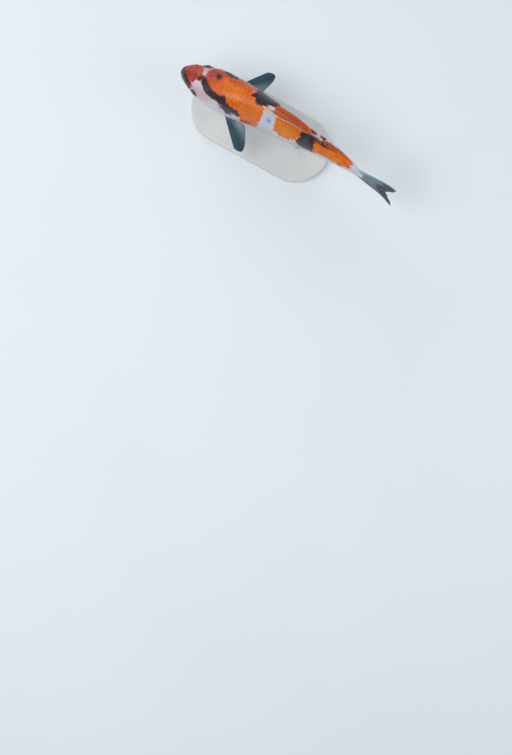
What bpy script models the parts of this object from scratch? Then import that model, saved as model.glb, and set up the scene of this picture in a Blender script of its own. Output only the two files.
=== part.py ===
"""A koi carp at life size, gliding with its dorsal fin folded, on a plain display stand.

Metres, +Z up.  The origin is the centre of the stand's foot, on the floor.  The fish heads along -X
with its left side towards -Y, so +X runs tailwards.  The body is one smooth form, a family of rings
threaded on a gently curved spine, parted into head, trunk and tail stalk by thin gaps.  Lengths in the
tables are in percent of BODY_LENGTH, so the whole fish follows that one size.
"""

import math

import bmesh
import bpy
import numpy as np
from mathutils import Matrix, Vector

# Driving dimensions
BODY_LENGTH = 0.180  # 100 percent: the snout's tip stands at 1.6 and the root of the tail fin at 100
AXIS_HEIGHT = 0.058  # the spine above the floor
SPINE_AT = (0.0, 0.0015)  # where the spine's station STAND_STATION stands, in X and Y
STAND_STATION = 45.0  # percent of BODY_LENGTH behind the snout
PERCENT = BODY_LENGTH / 100

# The spine, as (percent of BODY_LENGTH behind the snout, degrees that its tailward direction is turned
# from +X towards the fish's left).  The snout points a little to the right, the tail is drawn to the
# left, and the fin's end curls on to the left.
SPINE_TURNS = (
    (-10, 6), (4, 6), (9, 4), (13, 0.5), (18, -2), (28, -2), (52, 0), (75, 2.5),
    (90, 6.8), (98, 9.0), (105, 4.5), (112, 6.0), (120, 18), (140, 20),
)

# Gaps and resolution
GAP = 0.0003  # between touching pieces
PART_GAP = 0.0004  # between head, trunk and tail stalk
AROUND = 36  # points in a ring
TRUNK_RINGS, TAIL_RINGS, CHEEK_RINGS = 16, 7, 8

# The rings of the body, in percent of BODY_LENGTH.  course numbers the rings from the throat, out over
# the lips and back to the tail; along is a ring's distance behind the snout, mid the height of its widest
# level over the spine, half its half width, up and down its reach over and under mid, and pull how far
# the ring's sides are drawn back, as at the corners of the mouth.  n_up and n_down are the powers of the
# superellipses that its upper and lower halves follow: 2 is an ellipse, more is squarer.
COLUMNS = ("course", "along", "mid", "half", "up", "down", "pull", "n_up", "n_down")
RINGS = (
    (-4.6, 4.20, -1.2, 1.10, 0.30, 0.30, 0.5, 2.0, 2.0),  # throat
    (-3.0, 2.65, -1.2, 1.70, 0.32, 0.30, 0.7, 2.0, 2.0),  # inside of the lips
    (-2.1, 1.98, -1.2, 2.00, 0.42, 0.38, 0.8, 2.0, 2.0),
    (-1.3, 1.55, -1.2, 2.30, 0.95, 0.85, 0.8, 2.0, 2.0),  # crest of the lips
    (-0.5, 1.80, -1.2, 2.50, 1.50, 1.35, 0.7, 2.0, 2.0),
    (0.3, 2.30, -1.1, 2.60, 1.80, 1.60, 0.5, 2.0, 2.0),  # groove behind the lips
    (1.0, 2.50, -0.9, 2.75, 2.65, 1.95, 0.35, 2.0, 2.0),
    (2.0, 3.05, -0.5, 3.10, 3.55, 2.45, 0.2, 2.0, 2.0),  # snout and chin
    (3.2, 4.05, -0.1, 3.70, 4.40, 3.20, 0.05, 2.1, 2.1),
    (6.0, 6.55, 0.0, 5.10, 5.95, 4.75, 0.0, 2.2, 2.1),
    (10.0, 10.3, 0.0, 6.75, 7.55, 6.15, 0.0, 2.3, 2.2),
    (15.0, 15.1, 0.0, 8.25, 9.30, 7.70, 0.0, 2.4, 2.2),
    (20.0, 20.0, 0.0, 9.00, 10.8, 9.10, 0.0, 2.3, 2.3),  # gill covers
    (26.0, 26.0, 0.0, 9.20, 12.3, 10.4, 0.0, 2.2, 2.3),
    (34.0, 34.0, 0.0, 8.95, 13.7, 11.7, 0.0, 2.1, 2.3),
    (43.0, 43.0, 0.0, 7.95, 14.3, 12.3, 0.0, 2.0, 2.3),  # deepest, under the front of the dorsal fin
    (53.0, 53.0, 0.0, 6.95, 13.7, 12.0, 0.0, 2.0, 2.3),
    (63.0, 63.0, 0.0, 6.25, 12.0, 10.8, 0.0, 2.0, 2.2),
    (73.0, 73.0, 0.0, 5.10, 9.70, 8.90, 0.0, 2.0, 2.1),
    (83.0, 83.0, 0.0, 4.10, 7.40, 6.70, 0.0, 2.0, 2.0),
    (91.0, 91.0, 0.0, 3.00, 6.20, 5.50, 0.0, 2.0, 2.0),  # tail stalk
    (97.0, 97.0, 0.0, 1.75, 6.00, 5.40, 0.0, 2.0, 2.0),
    (100.0, 100.0, 0.0, 1.10, 6.05, 5.45, 0.0, 2.0, 2.0),
    (103.0, 103.0, 0.0, 0.48, 5.80, 5.30, 0.0, 2.0, 2.0),  # root of the tail fin
)
LIP_COURSES = (
    -4.6, -3.0, -2.1, -1.7, -1.3, -0.9, -0.5, 0.0, 0.5, 1.0, 1.5, 2.2, 3.2, 4.5, 6.0, 8.0, 10.0, 12.0,
)
CHEEK_FROM = 14.0

# The head's rear edge, which runs from the nape round the gill covers to the throat
NAPE, COVER_EDGE, THROAT = 22.5, 27.2, 21.5
PART_CENTRE = 24.5
TAIL_FROM = 80.0

# Eyes, in percent: where each looks out of the head, how deep its centre sits, and the half sizes of the
# ball, which is flatter across the eye than round it
EYE_COURSE, EYE_ANGLE, EYE_SUNK = 12.4, math.radians(75), 1.15
EYE_ROUND, EYE_FLAT = 2.75, 1.7

# The cut under the upper lip that frees the jaw, in percent, as (along, height) round its side
JAW_OUTLINE = ((-1.6, -1.2), (4.7, -1.5), (9.4, -9.0), (-1.6, -9.0))
JAW_HALF_WIDTH = 8.0

# Gill covers: centre and half sizes of the oval that outlines them, in percent, and where it cuts in
COVER_CENTRE, COVER_HALF, COVER_DEPTH = (24.6, -0.6), (7.6, 7.0), 7.7
COVER_TILT = math.radians(8)

# Barbels: root (along, side, height), direction, length and root radius, in percent
BARBELS = {
    "front": ((3.9, 2.7, 0.5), (-0.15, 0.80, -0.60), 3.0, 0.36),
    "rear": ((4.6, 3.1, -1.8), (0.45, 0.55, -0.70), 5.4, 0.42),
}
BARBEL_TIP = 0.00028  # radius

# Fins.  Each is a fan of rays: where its first and last rays stand, which way they point, how long
# they are, and how thick the blade is at its root and its rim.  The sweep of a paired fin is its first
# and last rays' turn off the tailward direction, and its droop is its plane's slope down from level:
# each is given for the left fin and then for the right.
RIM_THICK = 0.0006
DORSAL = dict(stations=(43.5, 80.5), rise=(25, 12), lengths=(13.5, 6.5), thick=0.0018, lean=math.radians(-25))
ANAL = dict(stations=(74.5, 82.0), rise=(-30, -17), lengths=(13.5, 7.0), thick=0.0016, lean=0.0)
TAIL_FIN = dict(root=99.0, reach=(5.4, -5.0), rise=(33, -25), lengths=(25.5, 26.5), fork=17.0, thick=0.0020)
PECTORAL = dict(
    station=28.4, angle=122, chord=6.0, sweep=((50, 12), (58, 23)), droop=(19, 14),
    lengths=(19.5, 7.4), thick=0.0024,
)
PELVIC = dict(
    station=47.5, angle=158, chord=3.4, sweep=((20, 4), (20, 4)), droop=(72, 72),
    lengths=(13.5, 8.0), thick=0.0018,
)
PADDLE_FRONT, PADDLE_FALL = 0.18, 0.75  # share of its rays that stay long, and the power of the fall
PADDLE_CORNERS = (0.10, 0.30)  # how much shorter its first and last rays are made

# Stand
BASE_LENGTH, BASE_WIDTH, BASE_THICK, BASE_EDGE = 0.136, 0.062, 0.008, 0.0012
ROD_RADIUS, ROD_SINK = 0.0022, 0.0050
ROD_STATIONS = {"front": 34.0, "rear": 66.0}


# ---------------------------------------------------------------- the body as a formula


def smooth_through(xs, ys, x):
    """The smooth curve through the points (xs, ys), read at x: cubics whose slope at each point is
    the slope between that point's neighbours."""
    slopes = np.gradient(ys, xs)
    i = np.clip(np.searchsorted(xs, x) - 1, 0, len(xs) - 2)
    step = xs[i + 1] - xs[i]
    t = (x - xs[i]) / step
    rise = ys[i + 1] - ys[i]
    bend_in, bend_out = slopes[i] * step, slopes[i + 1] * step
    square, cube = 3 * rise - 2 * bend_in - bend_out, bend_in + bend_out - 2 * rise
    return ys[i] + t * bend_in + t**2 * square + t**3 * cube


TABLE = np.array(RINGS)


def ring_value(column, course):
    return smooth_through(TABLE[:, 0], TABLE[:, COLUMNS.index(column)], course)


TURNS = np.array(SPINE_TURNS, float)


def turn_at(along):
    """The spine's direction, in radians from +X towards the fish's left."""
    return np.radians(smooth_through(TURNS[:, 0], TURNS[:, 1], np.asarray(along, float)))


SPINE_STEPS = np.linspace(-10, 140, 1501)
SPINE_XY = np.cumsum(
    np.column_stack((np.cos(turn_at(SPINE_STEPS)), -np.sin(turn_at(SPINE_STEPS)))) * PERCENT * 0.1, axis=0
)


def spine_at(along):
    """X and Y of the spine at a distance behind the snout, in percent."""
    x = np.interp(along, SPINE_STEPS, SPINE_XY[:, 0]) - np.interp(STAND_STATION, SPINE_STEPS, SPINE_XY[:, 0])
    y = np.interp(along, SPINE_STEPS, SPINE_XY[:, 1]) - np.interp(STAND_STATION, SPINE_STEPS, SPINE_XY[:, 1])
    return x + SPINE_AT[0], y + SPINE_AT[1]


def place(along, side, height):
    """World points from distances behind the snout, to the fish's left and over the spine, in percent."""
    along, side, height = np.broadcast_arrays(*(np.asarray(v, float) for v in (along, side, height)))
    x, y = spine_at(along)
    turn = turn_at(along)
    return np.stack(
        (
            x - side * PERCENT * np.sin(turn),
            y - side * PERCENT * np.cos(turn),
            AXIS_HEIGHT + height * PERCENT,
        ),
        axis=-1,
    )


def signed_power(value, power):
    return np.sign(value) * np.abs(value) ** power


def surface(course, angle, lift=0.0):
    """World points of the skin.  angle is 0 on the back, a quarter turn on the left side and a half turn
    on the belly; lift, in percent, widens the rings."""
    course, angle = np.broadcast_arrays(np.asarray(course, float), np.asarray(angle, float))
    over = np.cos(angle) >= 0
    power = 2 / np.where(over, ring_value("n_up", course), ring_value("n_down", course))
    reach = np.where(over, ring_value("up", course), ring_value("down", course)) + lift
    side = (ring_value("half", course) + lift) * signed_power(np.sin(angle), power)
    height = ring_value("mid", course) + reach * signed_power(np.cos(angle), power)
    along = ring_value("along", course) + ring_value("pull", course) * np.abs(np.sin(angle)) ** 3
    return place(along, side, height)


def head_edge(angle):
    """The course of the head's rear edge at each angle: an S from the nape over the cover to the throat."""
    end = np.where(np.cos(angle) >= 0, NAPE, THROAT)
    return end + (COVER_EDGE - end) * np.sin(angle) ** 2


# ---------------------------------------------------------------- making objects


def finish(name, colour, roughness, metallic=0.0):
    material = bpy.data.materials.new(name)
    material.use_nodes = True
    shader = material.node_tree.nodes["Principled BSDF"]
    shader.inputs["Base Color"].default_value = (*colour, 1)
    shader.inputs["Roughness"].default_value = roughness
    shader.inputs["Metallic"].default_value = metallic
    return material


def make_object(name, bm, material, cutter=False):
    """An object from a bmesh, with its faces turned outwards.  A cutter stays out of the render."""
    bmesh.ops.recalc_face_normals(bm, faces=bm.faces)
    mesh = bpy.data.meshes.new(name)
    bm.to_mesh(mesh)
    bm.free()
    mesh.shade_smooth()
    mesh.set_sharp_from_angle(angle=math.radians(50))
    obj = bpy.data.objects.new(name, mesh)
    bpy.context.scene.collection.objects.link(obj)
    if material:
        mesh.materials.append(material)
    if cutter:
        obj.hide_render = True
        obj.display_type = "WIRE"
    return obj


def bridge(bm, near, far):
    for i in range(len(near)):
        j = (i + 1) % len(near)
        bm.faces.new((near[i], near[j], far[j], far[i]))


def fan(bm, ring, tip):
    point = bm.verts.new(tip)
    for i in range(len(ring)):
        bm.faces.new((ring[i], ring[(i + 1) % len(ring)], point))


def loft(rows, first_tip, last_tip):
    """A closed skin over rings of points, with a fan to a tip at each end."""
    bm = bmesh.new()
    rings = [[bm.verts.new(point) for point in row] for row in rows]
    for near, far in zip(rings, rings[1:]):
        bridge(bm, near, far)
    fan(bm, rings[0], first_tip)
    fan(bm, rings[-1], last_tip)
    return bm


def boolean(obj, other, operation="DIFFERENCE"):
    modifier = obj.modifiers.new(f"{operation.lower()}_{other.name}", "BOOLEAN")
    modifier.operation = operation
    modifier.solver = "EXACT"
    modifier.object = other


def prism(name, outline, low, high, frame):
    """A cutter: an outline of (first, second) points, extruded from low to high along the third axis
    of frame, all in metres."""
    bm = bmesh.new()
    ends = [[bm.verts.new(frame @ Vector((a, b, level))) for a, b in outline] for level in (low, high)]
    bridge(bm, ends[0], ends[1])
    for end in ends:
        bm.faces.new(end)
    return make_object(name, bm, None, cutter=True)


def side_frame(at, side):
    """Axes along, up and out through the left cheek (side 1) or the right one (side -1).  They are
    turned as the spine is at the distance `at`, and along still counts from the same zero."""
    middle = Vector(place(at, 0, 0))
    along = (Vector(place(at + 0.5, 0, 0)) - Vector(place(at - 0.5, 0, 0))).normalized()
    out = (Vector(place(at, side, 0)) - middle).normalized()
    up = Vector((0, 0, 1))
    origin = middle - along * (at * PERCENT)
    axes = (along, up, out)
    return Matrix([(*(axis[row] for axis in axes), origin[row]) for row in range(3)] + [(0, 0, 0, 1)])


# ---------------------------------------------------------------- head, trunk and tail stalk


def ring_angles():
    return np.arange(AROUND) * 2 * math.pi / AROUND


def head_rows():
    angles = ring_angles()
    rows = [surface(course, angles) for course in LIP_COURSES]
    shares = np.linspace(0, 1, CHEEK_RINGS)
    return rows + [surface(CHEEK_FROM + (head_edge(angles) - CHEEK_FROM) * share, angles) for share in shares]


def head_bmesh():
    rows = head_rows()
    return loft(rows, rows[0].mean(axis=0), place(PART_CENTRE, 0, 0))


def trunk_bmesh():
    angles = ring_angles()
    gap = PART_GAP / PERCENT
    front = head_edge(angles) + gap
    shares = np.linspace(0, 1, TRUNK_RINGS)
    rows = [surface(front + (TAIL_FROM - front) * share, angles) for share in shares]
    return loft(rows, place(PART_CENTRE + gap, 0, 0), place(TAIL_FROM, 0, 0))


def tail_stalk_bmesh():
    gap = PART_GAP / PERCENT
    last = TABLE[-1, 0]
    rows = [surface(course, ring_angles()) for course in np.linspace(TAIL_FROM + gap, last, TAIL_RINGS)]
    return loft(rows, place(TAIL_FROM + gap, 0, 0), place(last + 0.3, 0, 0.2))


def envelope():
    """The whole body, larger by GAP: what fins, barbels and rods are cut back by."""
    courses = np.concatenate((LIP_COURSES[5:], np.linspace(14, TABLE[-1, 0], 34)))
    rows = [surface(course, ring_angles(), GAP / PERCENT) for course in courses]
    tip = place(TABLE[-1, 0] + 0.3 + GAP / PERCENT, 0, 0.2)
    return make_object("envelope", loft(rows, rows[0].mean(axis=0), tip), None, cutter=True)


def build_head(finishes):
    head = make_object("head", head_bmesh(), finishes["head"])
    jaw = make_object("jaw", head_bmesh(), finishes["jaw"])
    outline = [(along * PERCENT, height * PERCENT) for along, height in JAW_OUTLINE]
    frame = side_frame(JAW_OUTLINE[1][0], 1)
    width = JAW_HALF_WIDTH * PERCENT
    boolean(head, prism("jaw_cut", outline, -width, width, frame))
    kept = [(along - GAP, height - GAP) for along, height in outline]
    boolean(jaw, prism("jaw_keep", kept, -width, width, frame), "INTERSECT")
    for side, word in ((1, "left"), (-1, "right")):
        build_gill_cover(head, side, word, finishes)
        build_eye(head, side, word, finishes)


def cover_outline(inset):
    """The gill cover's oval, drawn back at the rear past the head's edge, as (along, height) in metres."""
    turns = np.arange(32) * 2 * math.pi / 32
    along = (COVER_CENTRE[0] + COVER_HALF[0] * np.cos(turns)) * PERCENT - inset * np.cos(turns)
    height = (COVER_CENTRE[1] + COVER_HALF[1] * np.sin(turns)) * PERCENT - inset * np.sin(turns)
    return list(zip(along, height))


def build_gill_cover(head, side, word, finishes):
    frame = side_frame(COVER_CENTRE[0], side) @ Matrix.Rotation(COVER_TILT, 4, "X")
    deep, out = COVER_DEPTH * PERCENT, 2 * COVER_DEPTH * PERCENT
    boolean(head, prism(f"cover_cut_{word}", cover_outline(0), deep, out, frame))
    cover = make_object(f"gill_cover_{word}", head_bmesh(), finishes["gill_cover"])
    keep = prism(f"cover_keep_{word}", cover_outline(GAP), deep + GAP, out, frame)
    boolean(cover, keep, "INTERSECT")


def skin_normal(course, angle):
    """The skin's outward unit normal, from its slopes along the body and round it."""
    step = 0.01
    back = surface(course + step, angle) - surface(course - step, angle)
    round_left = surface(course, angle + step) - surface(course, angle - step)
    normal = np.cross(round_left, back)
    return Vector(normal / np.linalg.norm(normal))


def eyeball(name, side, larger, material, cutter=False):
    """A ball set in the cheek, flattened along the way that the eye looks."""
    angle = EYE_ANGLE * side
    look = skin_normal(EYE_COURSE, angle)
    centre = Vector(surface(EYE_COURSE, angle)) - look * (EYE_SUNK * PERCENT)
    bm = bmesh.new()
    bmesh.ops.create_uvsphere(bm, u_segments=18, v_segments=10, radius=1)
    sizes = [half * PERCENT + larger for half in (EYE_ROUND, EYE_ROUND, EYE_FLAT)]
    turned = look.to_track_quat("Z", "Y").to_matrix().to_4x4()
    bm.transform(Matrix.Translation(centre) @ turned @ Matrix.Diagonal((*sizes, 1)))
    bm.normal_update()
    return make_object(name, bm, material, cutter)


def build_eye(head, side, word, finishes):
    eyeball(f"eye_{word}", side, 0, finishes["eye"])
    boolean(head, eyeball(f"eye_socket_{word}", side, GAP, None, cutter=True))


def build_barbels(body, finishes):
    """Four feelers: each a tapering tube that leaves the lip and curls down and back."""
    for side, word in ((1, "left"), (-1, "right")):
        for pair, (root, direction, length, radius) in BARBELS.items():
            start = np.array(root)
            heading = np.array(direction) / np.linalg.norm(direction)
            rows = []
            for share in np.linspace(0, 1, 9):
                middle = start + length * (heading * share + np.array((0.35, -0.25, -0.1)) * share**2)
                thick = radius * (1 - share) + BARBEL_TIP / PERCENT * share
                forward = heading + 2 * share * np.array((0.35, -0.25, -0.1))
                across = np.cross(forward, (1, 0, 0))
                across /= np.linalg.norm(across)
                upward = np.cross(across, forward) / np.linalg.norm(forward)
                turns = np.arange(8)[:, None] * math.pi / 4
                ring = middle + thick * (across * np.cos(turns) + upward * np.sin(turns))
                rows.append(place(ring[:, 0], ring[:, 1] * side, ring[:, 2]))
            bm = loft(rows, rows[0].mean(axis=0), rows[-1].mean(axis=0))
            barbel = make_object(f"barbel_{pair}_{word}", bm, finishes["barbel"])
            boolean(barbel, body)


# ---------------------------------------------------------------- fins


def blade(middle, normal, thick):
    """A thin closed solid round a grid of points, half of thick to each side along normal."""
    bm = bmesh.new()
    layers = []
    for direction in (0.5, -0.5):
        grid = middle + direction * thick[..., None] * normal
        layers.append([[bm.verts.new(point) for point in row] for row in grid])
    rows, columns = thick.shape
    for verts in layers:
        for i in range(rows - 1):
            for j in range(columns - 1):
                bm.faces.new((verts[i][j], verts[i][j + 1], verts[i + 1][j + 1], verts[i + 1][j]))
    rim = [(0, j) for j in range(columns)] + [(i, columns - 1) for i in range(1, rows)]
    rim += [(rows - 1, j) for j in range(columns - 2, -1, -1)] + [(i, 0) for i in range(rows - 2, 0, -1)]
    bridge(bm, [layers[0][i][j] for i, j in rim], [layers[1][i][j] for i, j in rim])
    return bm


def blade_thickness(along, across, root):
    """Thick at the root, thin at the rim; along and across run 0 to 1 over the fin."""
    taper = (1 - along) ** 1.5
    return np.broadcast_to(RIM_THICK + (root - RIM_THICK) * taper, np.broadcast(along, across).shape)


def fin_grid(rays, steps):
    along = np.linspace(0, 1, steps)[:, None]
    across = np.linspace(0, 1, rays)[None, :]
    return along, across


def ray_length(across, lengths, rounding):
    """Each ray's length: shrinking from the first to the last, with both corners rounded off."""
    first, last = lengths
    return (last + (first - last) * (1 - across**1.3)) * (1 - rounding * np.abs(2 * across - 1) ** 4)


def paddle_length(across, lengths):
    """Each ray's length in a paired fin: the front rays long, the rest falling away in half a cosine
    wave, with both corners rounded off."""
    first, last = lengths
    fall = np.clip((across - PADDLE_FRONT) / (1 - PADDLE_FRONT), 0, 1)
    length = last + (first - last) * 0.5 * (1 + np.cos(math.pi * fall**PADDLE_FALL))
    front = PADDLE_CORNERS[0] * np.clip(1 - across / PADDLE_FRONT, 0, 1) ** 2
    rear = PADDLE_CORNERS[1] * np.clip(1 - (1 - across) / PADDLE_FRONT, 0, 1) ** 2
    return length * (1 - front - rear)


def median_fin(name, fin, direction, body, material, rays, steps):
    """A fin that stands on the back or hangs under the belly, following the spine's bend.
    direction is 1 for a fin on the back and -1 for one under the belly."""
    along, across = fin_grid(rays, steps)
    root = fin["stations"][0] + (fin["stations"][1] - fin["stations"][0]) * across
    level = direction * (ring_value("up" if direction > 0 else "down", root) - 0.8)
    rise = np.radians(fin["rise"][0] + (fin["rise"][1] - fin["rise"][0]) * across)
    length = ray_length(across, fin["lengths"], 0.14)
    reach = along * length
    station = root + reach * np.cos(rise)
    height = level + reach * np.sin(rise)
    side = -(height - level) * math.tan(fin["lean"])
    middle = place(station, side, height)
    turn = turn_at(station)
    normal = np.stack((-np.sin(turn), -np.cos(turn), np.zeros_like(turn)), axis=-1)
    thick = blade_thickness(along, across, fin["thick"])
    boolean(make_object(name, blade(middle, normal, thick), material), body)


def tail_fin_lobe(name, upper, body, material):
    """Half of the forked tail fin: from its shortest middle ray out to the lobe's leading ray."""
    fin = TAIL_FIN
    along, across = fin_grid(rays=11, steps=8)
    pick = 0 if upper else 1
    sign = 1 if upper else -1
    edge = 0.5 * PART_GAP / PERCENT
    level = sign * edge + (fin["reach"][pick] - sign * edge) * across
    rise = np.radians(fin["rise"][pick]) * (0.10 + 0.90 * across)
    tip_round = 1 - 0.10 * np.exp(-(((1 - across) / 0.08) ** 2))
    length = (fin["fork"] + (fin["lengths"][pick] - fin["fork"]) * across**1.15) * tip_round
    reach = along * length
    first = across == 0
    station = fin["root"] + reach * np.cos(rise)
    height = level + np.where(first, 0, reach * np.sin(rise))
    middle = place(station, 0, height)
    turn = turn_at(station)
    normal = np.stack((-np.sin(turn), -np.cos(turn), np.zeros_like(turn)), axis=-1)
    thick = blade_thickness(along, across, fin["thick"])
    boolean(make_object(name, blade(middle, normal, thick), material), body)


def paired_fin(name, fin, side, body, material, rays, steps):
    """A pectoral or pelvic fin: a fan in a plane that droops from the body, cupped a little."""
    along, across = fin_grid(rays, steps)
    station = fin["station"] + fin["chord"] * across
    angle = math.radians(fin["angle"])
    root = surface(station, angle * side)
    turn = float(turn_at(fin["station"]))
    back = np.array((math.cos(turn), -math.sin(turn), 0))
    left = np.array((-math.sin(turn), -math.cos(turn), 0))
    pick = 0 if side > 0 else 1
    droop = math.radians(fin["droop"][pick])
    outward = left * side * math.cos(droop) - np.array((0, 0, math.sin(droop)))
    normal = np.cross(back, outward)
    normal *= np.sign(normal[2])
    first, last = fin["sweep"][pick]
    sweep = np.radians(first + (last - first) * across)
    ray = np.cos(sweep)[..., None] * back + np.sin(sweep)[..., None] * outward
    length = paddle_length(across, fin["lengths"]) * PERCENT
    cup = -0.10 * (along**2) * length + 0.04 * length * np.sin(math.pi * across)
    sunk = root - outward * 0.012 * fin["chord"] * PERCENT * 10
    middle = sunk + ray * (along * length)[..., None] + normal * cup[..., None]
    thick = blade_thickness(along, across, fin["thick"])
    boolean(make_object(name, blade(middle, normal, thick), material), body)


def build_fins(body, finishes):
    median_fin("dorsal_fin", DORSAL, 1, body, finishes["fin"], rays=16, steps=6)
    median_fin("anal_fin", ANAL, -1, body, finishes["fin"], rays=8, steps=7)
    tail_fin_lobe("tail_fin_upper", True, body, finishes["fin"])
    tail_fin_lobe("tail_fin_lower", False, body, finishes["fin"])
    for side, word in ((1, "left"), (-1, "right")):
        paired_fin(f"pectoral_fin_{word}", PECTORAL, side, body, finishes["fin"], rays=11, steps=8)
        paired_fin(f"pelvic_fin_{word}", PELVIC, side, body, finishes["fin"], rays=8, steps=7)


# ---------------------------------------------------------------- stand


def build_base(material):
    """A flat plate with round ends, its edges bevelled."""
    radius, straight = BASE_WIDTH / 2, BASE_LENGTH / 2 - BASE_WIDTH / 2
    turns = np.linspace(-math.pi / 2, math.pi / 2, 19)
    right = [(straight + radius * math.cos(t), radius * math.sin(t)) for t in turns]
    outline = right + [(-x, -y) for x, y in right]
    bm = bmesh.new()
    rings = [[bm.verts.new((x, y, z)) for x, y in outline] for z in (0, BASE_THICK)]
    bridge(bm, rings[0], rings[1])
    for ring in rings:
        bm.faces.new(ring)
    base = make_object("stand_base", bm, material)
    bevel = base.modifiers.new("soft_edge", "BEVEL")
    bevel.width = BASE_EDGE
    bevel.segments = 2
    return base


def build_rods(trunk, finishes):
    """Two rods that stand on the base and end inside sockets in the belly."""
    for word, station in ROD_STATIONS.items():
        foot = place(station, 0, 0)
        belly = float(place(station, 0, -ring_value("down", station))[2])
        low, high = BASE_THICK + GAP, belly + ROD_SINK
        for name, radius, top, material in (
            (f"stand_rod_{word}", ROD_RADIUS, high, finishes["rod"]),
            (f"rod_socket_{word}", ROD_RADIUS + GAP, high + GAP, None),
        ):
            bm = bmesh.new()
            bmesh.ops.create_cone(
                bm, cap_ends=True, segments=20, radius1=radius, radius2=radius, depth=top - low
            )
            rod = make_object(name, bm, material, cutter=material is None)
            rod.location = (foot[0], foot[1], (top + low) / 2)
        boolean(trunk, rod)


def main():
    for obj in list(bpy.data.objects):
        bpy.data.objects.remove(obj)
    finishes = {
        "head": finish("red_skin", (0.60, 0.10, 0.05), 0.35),
        "jaw": finish("dark_skin", (0.05, 0.06, 0.08), 0.35),
        "gill_cover": finish("white_skin", (0.80, 0.78, 0.80), 0.32),
        "trunk": finish("orange_skin", (0.80, 0.26, 0.04), 0.35),
        "eye": finish("eye_black", (0.02, 0.02, 0.02), 0.08),
        "barbel": finish("barbel_skin", (0.70, 0.55, 0.50), 0.4),
        "fin": finish("fin_slate", (0.10, 0.17, 0.21), 0.4),
        "base": finish("base_white", (0.78, 0.78, 0.76), 0.5),
        "rod": finish("rod_steel", (0.62, 0.62, 0.62), 0.3, 1.0),
    }
    body = envelope()
    build_head(finishes)
    trunk = make_object("trunk", trunk_bmesh(), finishes["trunk"])
    make_object("tail_stalk", tail_stalk_bmesh(), finishes["trunk"])
    build_barbels(body, finishes)
    build_fins(body, finishes)
    build_base(finishes["base"])
    build_rods(trunk, finishes)


main()
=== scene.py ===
"""A koi carp at life size on a plain display stand: scaled skin, bright eyes, rayed fins and four barbels,
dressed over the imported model.

Metres, +Z up.  The fish heads along -X with its left side towards -Y.  The body is one formula, rings
threaded on a bent spine, and every piece of the coat reads it.  Lengths in the tables are in percent of
BODY_LENGTH.  A place on the skin is told by its station, the distance behind the snout, and its girth,
the distance round from the ridge of the back, positive on the left.
"""

import math

import bpy
import numpy as np
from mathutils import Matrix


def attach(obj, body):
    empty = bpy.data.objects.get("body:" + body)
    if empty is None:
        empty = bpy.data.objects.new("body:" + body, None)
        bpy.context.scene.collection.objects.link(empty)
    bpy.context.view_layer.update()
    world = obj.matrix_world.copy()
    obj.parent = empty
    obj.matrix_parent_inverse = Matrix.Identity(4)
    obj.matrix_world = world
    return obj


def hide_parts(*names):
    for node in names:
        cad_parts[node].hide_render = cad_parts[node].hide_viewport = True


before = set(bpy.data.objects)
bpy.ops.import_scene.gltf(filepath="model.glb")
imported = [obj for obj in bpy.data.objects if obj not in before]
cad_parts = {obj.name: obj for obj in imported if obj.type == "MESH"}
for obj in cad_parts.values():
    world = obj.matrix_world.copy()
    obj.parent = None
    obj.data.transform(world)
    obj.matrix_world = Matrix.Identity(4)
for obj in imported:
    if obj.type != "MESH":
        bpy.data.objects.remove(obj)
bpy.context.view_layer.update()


def new_object(name, data):
    """An object in the scene that shows a mesh, a light or a camera."""
    obj = bpy.data.objects.new(name, data)
    bpy.context.scene.collection.objects.link(obj)
    return obj


# -------------------- camera

FISH_TURN = math.radians(28.92)  # how far the frame's sideways axis is turned from +X
CAMERA_PLACE = (-0.004, -0.228, 0.9614)  # along the frame's sideways and upward axes, and up from the floor
across_frame = np.array((math.cos(FISH_TURN), math.sin(FISH_TURN), 0))
up_frame = np.array((-math.sin(FISH_TURN), math.cos(FISH_TURN), 0))
camera_data = bpy.data.cameras.new("camera")
camera_data.sensor_width, camera_data.lens = 36, 49.83
camera = new_object("camera", camera_data)
camera.location = CAMERA_PLACE @ np.array((across_frame, up_frame, (0, 0, 1)))
camera.rotation_euler = (0, 0, FISH_TURN)
bpy.context.scene.camera = camera
bpy.context.scene.view_settings.view_transform = "Standard"

# -------------------- the body's sizes

BODY_LENGTH = 0.18  # 100 percent: the snout's tip stands at 1.6 and the root of the tail fin at 100
AXIS_HEIGHT = 0.058  # the spine above the floor
SPINE_AT = (0.0, 0.0015)  # where the spine's station STAND_STATION stands, in X and Y
STAND_STATION = 45.0
PERCENT = BODY_LENGTH / 100
MM = 0.001
SIDES = ((1, "left"), (-1, "right"))

# The spine, as (station, degrees that its tailward direction is turned from +X towards the left)
SPINE_TURNS = (
    (-10, 6), (4, 6), (9, 4), (13, 0.5), (18, -2), (28, -2), (52, 0), (75, 2.5),
    (90, 6.8), (98, 9), (105, 4.5), (112, 6), (120, 18), (140, 20),
)

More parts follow.
